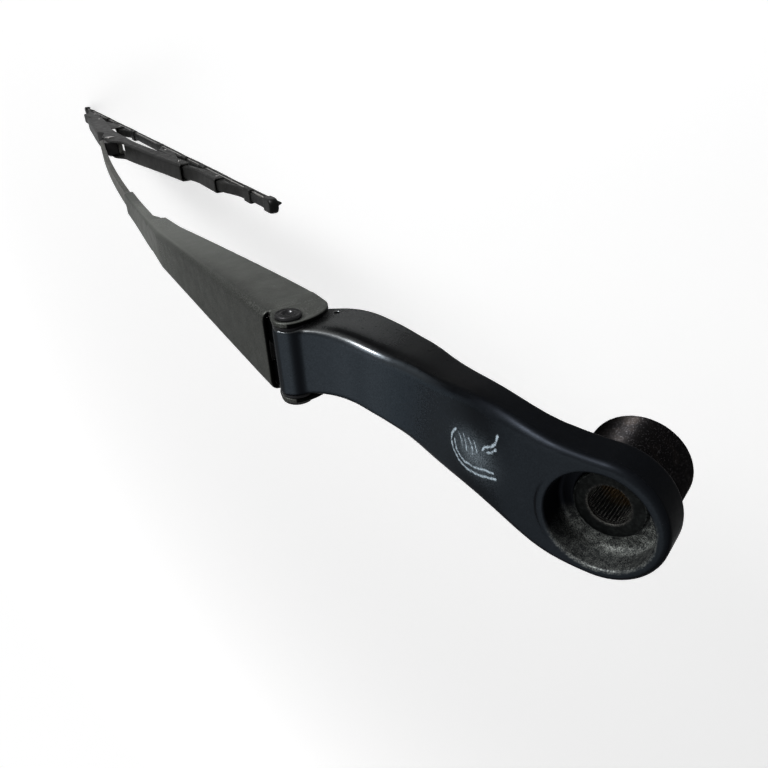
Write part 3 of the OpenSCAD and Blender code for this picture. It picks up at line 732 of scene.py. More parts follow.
def make_bar(a):
    """Rounded flat profile carried along a straight, a long arc, a half circle and a short straight."""
    bar_z, e, pivot, middle = hook_values(a)
    s = a.tail_slope
    straight = np.linspace(a.bar_start, a.tail_l, 8)
    path = [np.stack([straight, bar_z + (a.tail_l - straight) * np.tan(s)], 1)]
    normal = [np.tile([np.sin(s), np.cos(s)], (8, 1))]
    t = np.linspace(s, e, 60)[1:]
    path.append(np.stack([
        a.tail_l + a.bow_r * (np.sin(t) - np.sin(s)), bar_z - a.bow_r * (np.cos(s) - np.cos(t))], 1))
    normal.append(np.stack([np.sin(t), np.cos(t)], 1))
    t = np.linspace(e, e + np.pi, 40)[1:]
    n = np.stack([np.sin(t), np.cos(t)], 1)
    path.append(np.array(pivot) + middle * n)
    normal.append(n)
    back = np.array([-np.cos(e), np.sin(e)])
    t = np.linspace(0, a.hook_leg, 8)[1:, None]
    path.append(path[-1][-1] + t * back)
    normal.append(np.tile(n[-1], (7, 1)))
    path, normal = np.concatenate(path), np.concatenate(normal)
    centres = np.stack([path[:, 0], np.zeros(len(path)), path[:, 1]], 1)
    up = np.stack([normal[:, 0], np.zeros(len(path)), normal[:, 1]], 1)
    across = np.tile([0.0, 1.0, 0.0], (len(path), 1))
    return carried(flat_profile(a.bar_w / 2, a.bar_t / 2, 0.7, 5)[::-1], centres, across, up)


def make_spring(a):
    """Round wire carried along a close-wound helix; at each end it leaves through a half turn across the axis."""
    _, mid_r, start, coil_l = link_values(a)
    t = np.linspace(0, a.turns, a.turns * 28 + 1)
    helix = np.stack([start + a.wire_d * t, mid_r * np.cos(2 * np.pi * t), mid_r * np.sin(2 * np.pi * t)], 1)
    overrun = 0.9
    angle = np.linspace(np.pi / 2, -np.pi / 2 - overrun, 30)
    loop = np.stack([LEAD + mid_r * np.cos(angle), mid_r * np.sin(angle), 0 * angle], 1)
    q = np.linspace(0, 1, 40)
    lead = np.stack([ease(q) * LEAD, mid_r + 0 * q, 0 * q], 1)
    tail = np.concatenate([lead[1:-1], loop])
    head = tail * [-1, 1, 1] + [start, 0, 0]
    path = np.concatenate([head[::-1], helix, tail + [start + coil_l, 0, 0]])
    gap = np.linalg.norm(np.diff(path, axis=0), axis=1)
    path = path[np.concatenate([[True], gap > 1e-4])]
    tangent = np.gradient(path, axis=0)
    tangent /= np.linalg.norm(tangent, axis=1)[:, None]
    radial = path * [0, 1, 1]
    radial[:, 2] += 1e-3
    radial -= (radial * tangent).sum(1)[:, None] * tangent
    radial /= np.linalg.norm(radial, axis=1)[:, None]
    c = np.linspace(0, 2 * np.pi, 10, endpoint=False)
    profile = np.stack([np.cos(c), np.sin(c)], 1) * (a.wire_d / 2 - 0.02)
    return carried(profile, path, radial, np.cross(tangent, radial))


def make_link(h):
    """The bent link: a flat strip with an eye at each end, 3 mm thick."""
    wall, far_r, hook_r, half_t = 2.4, 3.8, 1.7, 1.5

    def field(x, y, z):
        eye = np.hypot(x, z) - h.anchor_r - wall
        strip = rounded(x - LINK_L / 2 + 1, z + 2.5, LINK_L / 2 - 1, 1.7, 0.6)
        heel = rounded(x - LINK_L + 2.5, z + 1.2, 2.5, 3.0, 0.6)
        from_far = np.hypot(x - LINK_L, z)
        shape = join(join(eye, strip, 0.8), join(heel, from_far - far_r, 0.8), 0.8)
        shape = cut(shape, np.hypot(x, z) - h.anchor_r - 0.08, 0.1)
        shape = cut(shape, from_far - hook_r, 0.3)
        return meet(shape, np.abs(y) - half_t, 0.35)

    return skin(field, steps((-5.2, 38.8, 0.4)), steps((-2.4, 2.4, 0.3)), steps((-5.4, 5.4, 0.4)))


def make_clip(a, b):
    """The plastic clip in the hook's own axes: round in the hook, with a block between its legs and a groove."""
    r = a.hook_r - 0.1
    hole = b.blade_pin_r + 0.06

    def field(x, y, z):
        leg = rounded(x + a.hook_leg / 2 - 0.5, z, a.hook_leg / 2 - 0.5, r, 0.5)
        shape = np.minimum(np.hypot(x, z) - r, leg)
        shape = meet(shape, np.abs(y) - a.bar_w / 2, 0.4)
        groove = np.maximum(np.abs(y) - 2.2, rounded(x + 9, z, 2.6, 1.2, 0.4))
        return cut(cut(shape, np.hypot(x, z) - hole, 0.2), groove, 0.2)

    return skin(field, steps((-13, 5.4, 0.3)), steps((-5.2, 5.2, 0.3)), steps((-5.4, 5.4, 0.3)))


# ---- the blade


def channel_field(width, top, low, sheet, bend):
    """A sheet folded to a channel, open below: a shell one sheet thick inside a rounded box, cut off at its lower
    edge. Width, top and low are functions of x."""
    tall = 30  # half the height of the box

    def field(x, y, z):
        outer = rounded(y, z - top(x) + tall, width(x) / 2, tall, bend)
        shell = np.abs(outer + sheet / 2) - sheet / 2
        return meet(shell, low(x) - z, 0.25)

    return field


def bridge_top(b, x):
    """Crown of the bridge: raised round the hook, then a slow fall to the ends, less on the fuller far half."""
    crown, step, slope = 3.0, 5.4, 10.4
    a = np.abs(x)
    fall = step * ease((a - 14) / 16) + slope * power((a - 30) / (b.bridge_half - 30), 1.1)
    return crown - fall + b.far_rise * ease((x - 18) / 26)


def make_bridge(b, a):
    """The pressed bridge with its window, holes and rounded cut edges."""
    window_x, window_half, window_low = -9, 25, -8
    window_w = a.bar_w + 0.8
    shell = channel_field(
        lambda x: b.bridge_w - (b.bridge_w - b.bridge_end_w) * ease((np.abs(x) - 30) / 90),
        lambda x: bridge_top(b, x),
        lambda x: -10.2 - 9.8 * ease((np.abs(x) - 24) / (b.bridge_half - 20)),
        b.bridge_t, 1.7,
    )

    def field(x, y, z):
        body = meet(shell(x, y, z), np.abs(x) - b.bridge_half, 0.3)
        window = rounded(x - window_x, y, window_half, window_w / 2, 0.8)
        body = cut(body, np.maximum(window, window_low - z), 0.25)
        body = cut(body, np.hypot(x, z) - b.blade_pin_r, 0.2)
        pins = np.hypot(np.abs(x) - b.bridge_pin_x, z - b.bridge_pin_z) - b.small_pin_r
        return cut(body, pins, 0.15)

    end = b.bridge_half + 1.2
    xs = steps((-end, -38, 1.0), (-38, 20, 0.5), (20, end, 1.0))
    return skin(field, xs, steps((-7, 7, 0.34)), steps((-21.2, 4.2, 0.34)))


def make_blade_pin(b):
    """The headed pin that the blade turns on."""
    y = b.bridge_w / 2
    head_r = 3.38
    head = [(0, y + 0.7), (2.4, y + 0.7), (3.1, y + 0.55), (head_r, y + 0.3), (head_r, y + 0.02), (b.blade_pin_r, y)]
    return turned(head + [(r, -z) for r, z in reversed(head)], 56)


def make_yoke(b, side):
    """A middle yoke: a smaller channel that drops from its crown to both ends."""
    middle = side * b.bridge_pin_x
    crown = -13.9 + (b.far_rise if side > 0 else 0.0)
    crown_fall, edge_z, edge_fall = 4.2, -19.0, 5.6
    shell = channel_field(
        lambda x: b.yoke_w + 0 * x,
        lambda x: crown - crown_fall * ease(np.abs(x) / 30),
        lambda x: edge_z - edge_fall * ease((np.abs(x) - 4) / 46),
        b.yoke_t, 1.4,
    )

    def field(x, y, z):
        x = x - middle
        body = meet(shell(x, y, z), np.abs(x) - b.yoke_half, 0.3)
        body = cut(body, np.hypot(x, z - b.bridge_pin_z) - b.small_pin_r - 0.05, 0.15)
        return cut(body, np.hypot(np.abs(x) - b.claw_pin_x, z - b.claw_pin_z) - b.small_pin_r, 0.15)

    end = b.yoke_half + 1
    xs = steps((middle - end, middle + end, 0.8))
    return skin(field, xs, steps((-4.9, 4.9, 0.3)), steps((-25.4, crown + 0.8, 0.3)))


def make_claw_yoke(b, middle, half, rise):
    """A claw yoke: a slim channel, higher by rise at its crown, whose ends widen into claws that grip under
    the rails."""
    crown, edge_z, lowest, drop = -19.6, -21.5, -25.9, 4.9
    grip = b.rail_top - b.rail_t - 0.1
    lip_t, jaw_half = 0.7, 1.65
    room_w, room_half, throat_w = b.rail_out + 0.1, 0.9, 2.3

    def fall(x):
        return ease((np.abs(x) - 4) / (half - b.claw_l - 6))

    shell = channel_field(
        lambda x: b.claw_w + 0 * x,
        lambda x: crown - drop * fall(x) + rise * (1 - fall(x)),
        lambda x: np.maximum(lowest, np.minimum(edge_z - drop * fall(x), -24.2 + 0.4 * ease((np.abs(x) - 5) / 6))),
        b.yoke_t - 0.1, 1.1,
    )

    def field(x, y, z):
        x = x - middle
        body = meet(shell(x, y, z), np.abs(x) - half, 0.2)
        body = cut(body, np.hypot(x, z - b.claw_pin_z) - b.small_pin_r - 0.05, 0.12)
        along = np.abs(np.abs(x) - half + b.claw_l / 2)
        outer = rounded(y, z - grip + lip_t - jaw_half, b.rail_out + 0.8, jaw_half, 0.6)
        jaw = meet(outer, along - b.claw_l / 2, 0.25)
        room = rounded(y, z - grip - room_half, room_w, room_half, 0.2)
        throat = np.maximum(np.abs(y) - throat_w, z - grip - room_half)
        jaw = cut(jaw, np.minimum(room, throat), 0.15)
        return join(body, jaw, 0.3)

    end = half + 0.9
    xs = steps((middle - end, middle + end, 0.7))
    return skin(field, xs, steps((-4.3, 4.3, 0.24)), steps((-28.5, rise - 19.0, 0.24)))


def make_pin(b, width):
    """A small chamfered pin through the blade frame."""
    h, r = width / 2, b.small_pin_r
    return turned([(0, h), (r - 0.2, h), (r, h - 0.2), (r, -h + 0.2), (r - 0.2, -h), (0, -h)], 24)


def make_spacer(b, width):
    """The plastic ring round a small pin."""
    h, bore, outside = width / 2, b.small_pin_r + 0.06, 1.4
    return turned_ring(softened([(bore, -h), (outside, -h), (outside, h), (bore, h)], 0.08, 3), 32)


def make_rubber(b):
    """The squeegee's profile carried along the blade, with a slight waver of the lip."""
    t = b.rail_top
    r = b.rail_t
    half = [
        (2.1, b.crown_z), (2.1, t + 0.05), (1.2, t + 0.05), (1.2, t - r - 0.05), (2.2, t - r - 0.05),
        (2.2, t - r - 1.2), (0.5, t - r - 1.5), (0.5, t - r - 2.2), (2.0, t - r - 2.6), (1.3, t - r - 3.5),
        (0.35, b.lip_z),
    ]
    outline = half + [(-y, z) for y, z in reversed(half)]
    profile = softened(outline, 0.22, 3)
    x = np.linspace(-b.rubber_half, b.rubber_half, 220)
    rings = np.zeros((len(x), len(profile), 3))
    rings[..., 0] = x[:, None]
    rings[..., 1] = profile[None, :, 0]
    rings[..., 2] = profile[None, :, 1]
    low = np.clip((t - r - 2.2 - profile[:, 1]) / 3.0, 0, 1)
    sway = 0.12 * np.sin(x / 17) + 0.08 * np.sin(x / 7.3 + 1)
    rings[..., 1] += sway[:, None] * low[None, :]
    return closed_tube(rings[:, ::-1])


def make_rail(b, side):
    """A thin flat strip with rounded edges, carried along the rubber."""
    x = np.linspace(-b.rubber_half + 4, b.rubber_half - 4, 60)
    y = (b.rail_in + b.rail_out) / 2 * side
    t = b.rail_t / 2
    profile = flat_profile((b.rail_out - b.rail_in) / 2, t, 0.2, 3)
    centres = np.stack([x, 0 * x + y, 0 * x + b.rail_top - t], 1)
    across = np.tile([0.0, 1.0, 0.0], (len(x), 1))
    up = np.tile([0.0, 0.0, 1.0], (len(x), 1))
    return carried(profile, centres, across, up)


def make_cap(b, side):
    """The moulded end cap: a box with rounded crown that narrows to a nose, hollow towards the blade and open
    below."""
    end = side * (b.rubber_half + 0.5)
    half_w, half_h, half_l, bend = 3.7, 6.0, 5, 1.2
    nose_l, nose_r, nose_z = 4.5, 4.4, 1.2
    low_z = 3.55  # of the open lower edge, below the rails' upper face
    room_w, room_h, room_l = 3.02, 3.45, 0.4

    def field(x, y, z):
        u, w = (x - end) * side, z - b.rail_top
        body = rounded(y, w + 4.55, half_w, half_h, bend)
        body = meet(body, np.abs(u + 1) - half_l, bend)
        nose = np.sqrt((np.maximum(u, 0) / nose_l) ** 2 + (y / nose_r) ** 2 + ((w + nose_z) / nose_r) ** 2)
        body = meet(body, (nose - 1) * 3.6, 0.5)
        body = meet(body, b.rail_top - low_z - z, 0.5)
        room = np.maximum(rounded(y, w + 2.55, room_w, room_h, 0.3), u - room_l)
        return cut(body, room, 0.2)

    low, high = sorted((end - side * 7, end + side * 5))
    return skin(field, steps((low, high, 0.25)), steps((-4.4, 4.4, 0.22)), steps((-31.0, -23.8, 0.22)))


# ---- finishes


class Nodes:
    """Short ways to build a procedural finish on Object coordinates."""

    def __init__(self, name):
        self.material = bpy.data.materials.new(name)
        self.material.use_nodes = True
        self.tree = self.material.node_tree
        self.tree.nodes.clear()
        self.out = self.tree.nodes.new("ShaderNodeOutputMaterial")
        self.shader = self.tree.nodes.new("ShaderNodeBsdfPrincipled")
        self.tree.links.new(self.shader.outputs[0], self.out.inputs[0])
        self.place = self.tree.nodes.new("ShaderNodeTexCoord").outputs["Object"]

    def put(self, socket, value):
        """Links an output to a socket, or sets a number or colour on it."""
        if isinstance(value, bpy.types.NodeSocket):
            self.tree.links.new(value, socket)
        elif hasattr(value, "__len__"):
            socket.default_value = (*value, 1.0)[: len(socket.default_value)]
        else:
            socket.default_value = value

    def math(self, operation, a, b=0.0):
        """One Math node."""
        node = self.tree.nodes.new("ShaderNodeMath")
        node.operation = operation
        self.put(node.inputs[0], a)
        self.put(node.inputs[1], b)
        return node.outputs[0]

    def times(self, a, b):
        """The product of two values."""
        return self.math("MULTIPLY", a, b)

    def plus(self, a, b):
        """The sum of two values."""
        return self.math("ADD", a, b)

    def off_axis(self, x, y):
        """Distance from the third axis."""
        return self.math("SQRT", self.plus(self.times(x, x), self.times(y, y)))

    def range(self, value, low, high, to_low=0.0, to_high=1.0):
        """Value mapped from low..high to the new range, with level ends."""
        node = self.tree.nodes.new("ShaderNodeMapRange")
        node.interpolation_type = "SMOOTHSTEP"
        for socket, v in zip(node.inputs, (value, low, high, to_low, to_high)):
            self.put(socket, v)
        return node.outputs[0]

    def noise(self, scale, detail=3.0, roughness=0.55, stretch=None):
        """Noise with that many features a metre, stretched along the axes if asked."""
        node = self.tree.nodes.new("ShaderNodeTexNoise")
        node.inputs["Scale"].default_value = scale
        node.inputs["Detail"].default_value = detail
        node.inputs["Roughness"].default_value = roughness
        place = self.place
        if stretch is not None:
            mapping = self.tree.nodes.new("ShaderNodeMapping")
            mapping.inputs["Scale"].default_value = stretch
            self.tree.links.new(place, mapping.inputs["Vector"])
            place = mapping.outputs[0]
        self.tree.links.new(place, node.inputs["Vector"])
        return node.outputs["Fac"]

    def specks(self, scale, size):
        """Round specks: 1 near the random points of a cell pattern, 0 away from them."""
        node = self.tree.nodes.new("ShaderNodeTexVoronoi")
        node.inputs["Scale"].default_value = scale
        self.tree.links.new(self.place, node.inputs["Vector"])
        return self.range(node.outputs["Distance"], size, size * 0.5)

    def axis(self):
        """The Object coordinates as three outputs."""
        node = self.tree.nodes.new("ShaderNodeSeparateXYZ")
        self.tree.links.new(self.place, node.inputs[0])
        return node.outputs

    def mix(self, factor, a, b):
        """Two colours mixed."""
        node = self.tree.nodes.new("ShaderNodeMix")
        node.data_type = "RGBA"
        self.put(node.inputs[0], factor)
        self.put(node.inputs[6], a)
        self.put(node.inputs[7], b)
        return node.outputs[2]

    def attribute(self, name):
        """A value stored on the mesh."""
        node = self.tree.nodes.new("ShaderNodeAttribute")
        node.attribute_name = name
        return node.outputs["Fac"]

    def bump(self, *layers):
        """Bumps on top of each other from (height, strength, distance) layers."""
        normal = None
        for height, strength, distance in layers:
            node = self.tree.nodes.new("ShaderNodeBump")
            node.inputs["Strength"].default_value = strength
            node.inputs["Distance"].default_value = distance
            self.tree.links.new(height, node.inputs["Height"])
            if normal is not None:
                self.tree.links.new(normal, node.inputs["Normal"])
            normal = node.outputs[0]
        self.tree.links.new(normal, self.shader.inputs["Normal"])

    def set(self, **values):
        """Sockets of the shader by name, with spaces as underscores."""
        for key, value in values.items():
            self.put(self.shader.inputs[key.replace("_", " ")], value)
        return self.material


def toned(tone, k):
    """A colour's values multiplied by k, at most 1."""
    return tuple(min(1.0, c * k) for c in tone)


def satin_paint(name, paint, dust, rough=0.42, amount=1.0, web_shade=None):
    """Satin paint on pressed steel: slightly mottled tone, fine orange peel, grey dust specks, and painted shade, near
    black, where the piece marks faces that do not look outward. If a web tone is given, the upward web gets that
    darker tone as painted shade, the rest is paler along the arm away from both ends, and painted shade darkens the
    fold near the hinge."""
    near_black = (0.0015, 0.0016, 0.0016)
    n = Nodes(name)
    tone = n.mix(n.range(n.noise(150, 5.0, 0.6), 0.3, 0.7), toned(paint, 0.80), toned(paint, 1.16))
    if web_shade is not None:
        # A paler tone along the arm, away from both ends.
        tone = n.mix(n.attribute("film"), tone, toned(paint, 1.9))
        # Painted shade: the upward web gets a darker tone, as it takes more light.
        tone = n.mix(n.attribute("web"), tone, web_shade)
        # Painted shade: darker along the fold near the hinge.
        tone = n.mix(n.attribute("fold"), tone, toned(paint, 0.35))
    tone = n.mix(n.range(n.noise(2600, 3.0, 0.6), 0.35, 0.7, 0.0, 0.5), tone, toned(paint, 1.5))
    specks = n.times(n.specks(1500, 0.2), n.range(n.noise(260, 3.0), 0.52, 0.74))
    tone = n.mix(n.times(specks, 0.30 * amount), tone, dust)
    # Painted shade: near black where the piece marks faces that do not look outward.
    tone = n.mix(n.attribute("hidden"), tone, near_black)
    n.bump((n.noise(1500, 2.0), 0.10, 0.0002), (n.noise(160, 2.0), 0.02, 0.0008))
    roughness = n.range(n.noise(210, 4.0), 0.3, 0.7, rough - 0.05, rough + 0.07)
    return n.set(Base_Color=tone, Roughness=roughness, Metallic=0.35, Specular_IOR_Level=0.03,
                 Specular_Tint=(0.15, 0.15, 0.15))


def bare_steel(name, steel, rust, rough=0.34, stain=0.25):
    """Bare steel with fine drawn lines, dull patches and a little rust."""
    n = Nodes(name)
    tone = n.mix(n.range(n.noise(300, 5.0, 0.6), 0.35, 0.7), steel, toned(steel, 0.45))
    tone = n.mix(n.times(n.range(n.noise(420, 4.0), 0.55, 0.72), stain), tone, rust)
    n.bump((n.noise(2600, 2.0, 0.5, (1.0, 0.08, 1.0)), 0.12, 0.0001))
    roughness = n.range(n.noise(350, 3.0), 0.3, 0.7, rough - 0.08, rough + 0.12)
    return n.set(Base_Color=tone, Metallic=0.9, Roughness=roughness)


def black_plastic(name, black, dust, rough=0.5):
    """Moulded black plastic or rubber with a soft grain and a little dust."""
    n = Nodes(name)
    specks = n.times(n.specks(1800, 0.2), n.range(n.noise(300, 3.0), 0.55, 0.75))
    tone = n.mix(n.times(specks, 0.35), black, dust)
    tone = n.mix(n.times(n.range(n.noise(120, 4.0), 0.45, 0.75), 0.02), tone, dust)
    n.bump((n.noise(2200, 2.0), 0.10, 0.00015))
    roughness = n.range(n.noise(240, 3.0), 0.3, 0.7, rough - 0.06, rough + 0.1)
    return n.set(Base_Color=tone, Roughness=roughness, Specular_IOR_Level=0.06)


def head_paint(f):
    """Gloss paint of the casting. By place: fine slate speckle on the outer face, which is dust and painted sheen,
    with less of it on the rounded edges near the eye as painted shade; grey dust on the flank by the hinge; a painted
    highlight along the front edge over a painted dark reflection band; a chalky scuff on the face; chalky wear and
    painted light on the lit side of the pocket, strongest near its floor; and painted shade, near black, inside the
    hinge. The gloss is duller towards the eye."""
    # The second tone is a painted highlight and the third a painted dark reflection; below, near_black is painted
    # shade inside the hinge and the powdery tone is partly painted light.
    dusty, highlight_tone, shaded = (0.115, 0.118, 0.118), (0.026, 0.030, 0.034), (0.0010, 0.0014, 0.0022)
    near_black, chalk_and_painted_light, chalky = (0.0012, 0.0014, 0.0016), (0.34, 0.36, 0.34), (0.42, 0.50, 0.56)
    n = Nodes("head_gloss_paint")
    grain = n.range(n.noise(2400, 3.0, 0.6), 0.3, 0.75, 0.6, 1.0)
    # Slate on the outer face: dust and painted sheen.
    tone = n.mix(n.times(n.attribute("outer"), grain), f.head_paint, f.slate)
    tone = n.mix(n.times(n.attribute("flank"), grain), tone, dusty)
    # Painted highlight along the rounded front edge.
    tone = n.mix(n.attribute("burnish"), tone, highlight_tone)
    # Painted dark reflection: a near black band on the flank under the front edge.
    tone = n.mix(n.times(n.attribute("below"), 0.9), tone, shaded)
    specks = n.times(n.specks(1900, 0.2), n.range(n.noise(420, 3.0), 0.55, 0.78))
    tone = n.mix(n.times(specks, 0.06 * f.wear), tone, f.dust)
    # Painted shade: near black inside the hinge.
    tone = n.mix(n.attribute("hidden"), tone, near_black)
    # Chalky wear and painted light on the lit side of the pocket.
    worn = n.attribute("pocket")
    powder = n.range(n.noise(3600, 4.0, 0.75), 0.36, 0.70)
    powder = n.times(powder, n.range(n.noise(700, 4.0), 0.30, 0.62, 0.3, 1.0))
    tone = n.mix(n.times(n.times(worn, powder), 0.95 * f.wear), tone, chalk_and_painted_light)
    uneven = n.plus(n.times(n.noise(3600, 4.0, 0.7), 0.50), n.times(n.noise(900, 3.0), 0.22))
    lines = n.range(n.plus(n.attribute("scuff"), uneven), 1.205, 1.33)
    rubbed = n.times(n.attribute("haze"), n.range(n.noise(5200, 3.0, 0.7), 0.38, 0.68, 0.0, 0.55))
    chalk = n.math("MAXIMUM", n.times(lines, 0.85), rubbed)
    tone = n.mix(n.times(chalk, f.wear), tone, chalky)
    rough = n.range(n.noise(500, 4.0), 0.3, 0.7, 0.27, 0.34)
    rough = n.plus(rough, n.times(n.math("MAXIMUM", chalk, worn), 0.3))
    rough = n.plus(rough, n.times(n.attribute("dull"), 0.13))
    n.bump((n.noise(1900, 2.0), 0.05, 0.0001), (n.noise(220, 2.0), 0.03, 0.0006), (powder, 0.03, 0.0001))
    return n.set(Base_Color=tone, Roughness=rough, Metallic=0.6, Specular_IOR_Level=0.02,
                 Specular_Tint=(0.08, 0.08, 0.08))


def boss_metal(f):
    """Dark turned metal: fine grooves round the axis that draw a lamp into a streak, and pale specks in them.
    The tangent runs across the grooves: away from the axis on the end, along it on the wall."""
    n = Nodes("boss_turned_metal")
    warm = tuple(c * k for c, k in zip(f.boss_metal, (2.0, 1.8, 1.6)))
    tone = n.mix(n.range(n.noise(240, 4.0, 0.6), 0.45, 0.75), f.boss_metal, warm)
    speck = n.times(n.range(n.noise(3200, 3.0, 0.6, (1.0, 1.0, 0.5)), 0.54, 0.68), 0.8)
    tone = n.mix(speck, tone, toned(f.boss_metal, 6.0))
    grooves = n.noise(3800, 2.0, 0.5, (0.02, 0.02, 1.0))
    n.bump((grooves, 0.35, 0.00006), (n.noise(2600, 2.0), 0.15, 0.00008))
    across = n.tree.nodes.new("ShaderNodeVectorMath")
    across.operation = "MULTIPLY_ADD"
    n.put(across.inputs[0], n.place)
    across.inputs[1].default_value = (1.0, 1.0, 0.0)
    across.inputs[2].default_value = (0.0, 0.0, 0.02)
    n.put(n.shader.inputs["Tangent"], across.outputs[0])
    roughness = n.range(n.noise(900, 3.0), 0.3, 0.7, 0.54, 0.62)
    return n.set(Base_Color=tone, Metallic=1.0, Roughness=roughness, Specular_IOR_Level=0.02,
                 Specular_Tint=(0.2, 0.2, 0.2), Anisotropic=0.97)


def sleeve_metal(f):
    """Dull dark worn steel with round tool marks on the ring, a painted highlight as a paler grey rim round the ring's
    outer edge, pale dotted splines and rust deep in the bore. The places are radii and heights in metres."""
    dull, worn, rim_grey = (0.0016, 0.0020, 0.0020), (0.009, 0.0105, 0.0102), (0.060, 0.066, 0.064)
    groove, tooth = (0.007, 0.007, 0.007), (0.24, 0.24, 0.22)
    dot_waves, mark_waves = 12000.0, 26000.0  # in radians a metre
    n = Nodes("sleeve_worn_steel")
    x, y, z = n.axis()
    radius = n.off_axis(x, y)
    ring = n.mix(n.range(n.noise(1100, 4.0, 0.65), 0.40, 0.75), dull, worn)
    # Painted highlight: a paler grey, broken rim round the ring's outer edge.
    rim = n.times(n.range(radius, 0.0074, 0.0077), n.range(n.noise(1300, 4.0, 0.7), 0.4, 0.65))
    ring = n.mix(rim, ring, rim_grey)
    inside = n.range(radius, 0.0053, 0.0048)
    dots = n.times(n.math("SINE", n.times(z, dot_waves)), 0.16)
    pale = n.range(n.plus(n.noise(3000, 3.0), dots), 0.42, 0.66)
    lips = n.range(radius, 0.00452, 0.00430)
    spline = n.mix(n.times(pale, n.plus(n.times(lips, 0.8), 0.2)), groove, tooth)
    deep = n.times(inside, n.range(z, 0.0128, 0.0098))
    rusty = n.times(deep, n.range(n.noise(500, 3.0), 0.3, 0.6, 0.6, 1.0))
    tone = n.mix(rusty, n.mix(inside, ring, spline), f.rust)
    tool = n.math("SINE", n.times(radius, mark_waves))
    n.bump((tool, 0.05, 0.00005), (n.noise(1700, 3.0), 0.2, 0.0001))
    return n.set(Base_Color=tone, Metallic=0.4, Roughness=0.42, Specular_IOR_Level=0.04)


# ---- where the finishes lie


def store(piece, values):
    """Stores one value for each point of a piece, for every name."""
    for name, value in values.items():
        attribute = piece.data.attributes.new(name, "FLOAT", "POINT")
        attribute.data.foreach_set("value", np.asarray(value, np.float32))


def normals_of(piece):
    """Point normals as an array."""
    out = np.zeros(len(piece.data.vertices) * 3, np.float32)
    piece.data.vertex_normals.foreach_get("vector", out)
    return out.reshape(-1, 3)


def closeness(x, y, line):
    """1 on an open line through the points, falling evenly to 0 at 2.5 mm from it."""
    best = np.min([to_segment(x, y, a, b) for a, b in zip(line, line[1:])], 0)
    return np.clip(1 - best / 2.5, 0, 1)


# Strokes of the scuff on the head's outer face: its strength, then its points in millimetres.
SCRATCHES = (
    (1.00, ((38.4, -4.4), (40.0, -2.4), (40.3, -0.4), (39.6, 1.8), (37.2, 3.8), (34.0, 4.2), (30.2, 3.3),
            (24.4, 0.9))),
    (0.99, ((39.0, -1.2), (38.2, 1.4), (35.2, 2.8), (31.0, 1.9), (28.0, 0.6), (25.2, -0.2))),
    (0.97, ((37.4, -4.0), (36.2, -2.6), (35.9, -0.9))),
    (0.98, ((35.6, -4.4), (34.6, -2.6), (34.3, -0.6))),
    (0.97, ((33.7, -4.6), (32.4, -3.1), (32.1, -1.2))),
    (0.98, ((31.8, -4.9), (30.9, -3.4), (30.6, -2.4))),
    (1.00, ((28.9, -4.1), (27.9, -5.6), (26.2, -6.6), (24.8, -8.2), (24.2, -10.6))),
    (0.98, ((27.3, -4.4), (26.0, -5.2), (24.6, -6.8))),
)


def head_wear(h, a, points, normal):
    """Where each finish of the casting lies: values from 0 to 1 for every point, by the name of the attribute.
    Front is the side of -Y, and the outer face looks along +Z."""
    x, y, z = points.T
    rho = np.hypot(x, y)
    front, up = -normal[:, 1], normal[:, 2]
    floor_z = h.face_z - h.pocket_d
    inside = (rho < h.pocket_r + 0.6) & (z > floor_z - 0.3)
    # The outer face's slate: dust and painted sheen on faces that look up.
    outer = ease((up - 0.6) / 0.3) * np.where(inside & (z < h.face_z - 0.6), 0.0, 1.0)
    # Less slate on the rounded edges near the eye: painted shade that dims the highlight there.
    flat = 1 - (1 - ease((up - 0.90) / 0.07)) * (1 - ease((x - 30) / 15)) * 0.7
    along = (0.26 + 0.74 * ease((x - 2) / 60)) * (1 - 0.45 * ease((x - 68) / 20))
    round_edge = np.maximum(front, 0) * np.maximum(up, 0)
    strip = np.floor(x + 20).astype(int)
    crest = np.full(strip.max() + 1, -np.inf)
    np.maximum.at(crest, strip, z)
    # Painted dark reflection: a band on the front flank about 3.6 mm below the crest of each strip.
    below = np.exp(-(((crest[strip] - z - 3.6) / 2.2) ** 2)) * ease((x - 20) / 15) * (1 - ease((x - 84) / 8))
    gap = (x - h.pin_x) * np.cos(a.drop) - (z - h.pin_z) * np.sin(a.drop)
    # The side of the pocket wall that faces the key light.
    toward = (x * -0.45 + y * 0.89) / np.maximum(rho, 1.0)
    # Painted light at the floor fillet: strongest just above the pocket floor.
    band = 0.4 + 0.6 * np.exp(-(((z - floor_z - 0.7) / 1.4) ** 2))
    scuff = np.max([weight * closeness(x, y, line) for weight, line in SCRATCHES], 0)
    haze = np.exp(-(((x - 32.0) / 6.0) ** 2 + ((y + 1.4) / 4.6) ** 2))
    return {
        "outer": outer * flat * along,
        # Painted highlight along the rounded front edge, from the middle of the neck, weaker towards the hinge.
        "burnish": ease((round_edge - 0.2) / 0.2) * ease((x - 40) / 14) * (1 - 0.7 * ease((x - 62) / 14)),
        "flank": ease((front - 0.5) / 0.4) * ease((x - 44) / 56) * (z < h.face_z - 1),
        "dull": 1 - ease((x - 26) / 24),
        "below": ease((front - 0.55) / 0.35) * below,
        # Painted shade: near black past the hinge barrel, on the lugs and in the slot.
        "hidden": ease((gap - 0.62 * h.knuckle_r) / 0.8),
        # Chalky wear and painted light: pale on the lit side of the pocket, strongest near its floor.
        "pocket": np.where(inside, ease((toward + 0.15) / 0.6) * band, 0.0),
        "scuff": np.where(up > 0.5, scuff, 0.0),
        "haze": np.where(up > 0.5, haze, 0.0),
    }


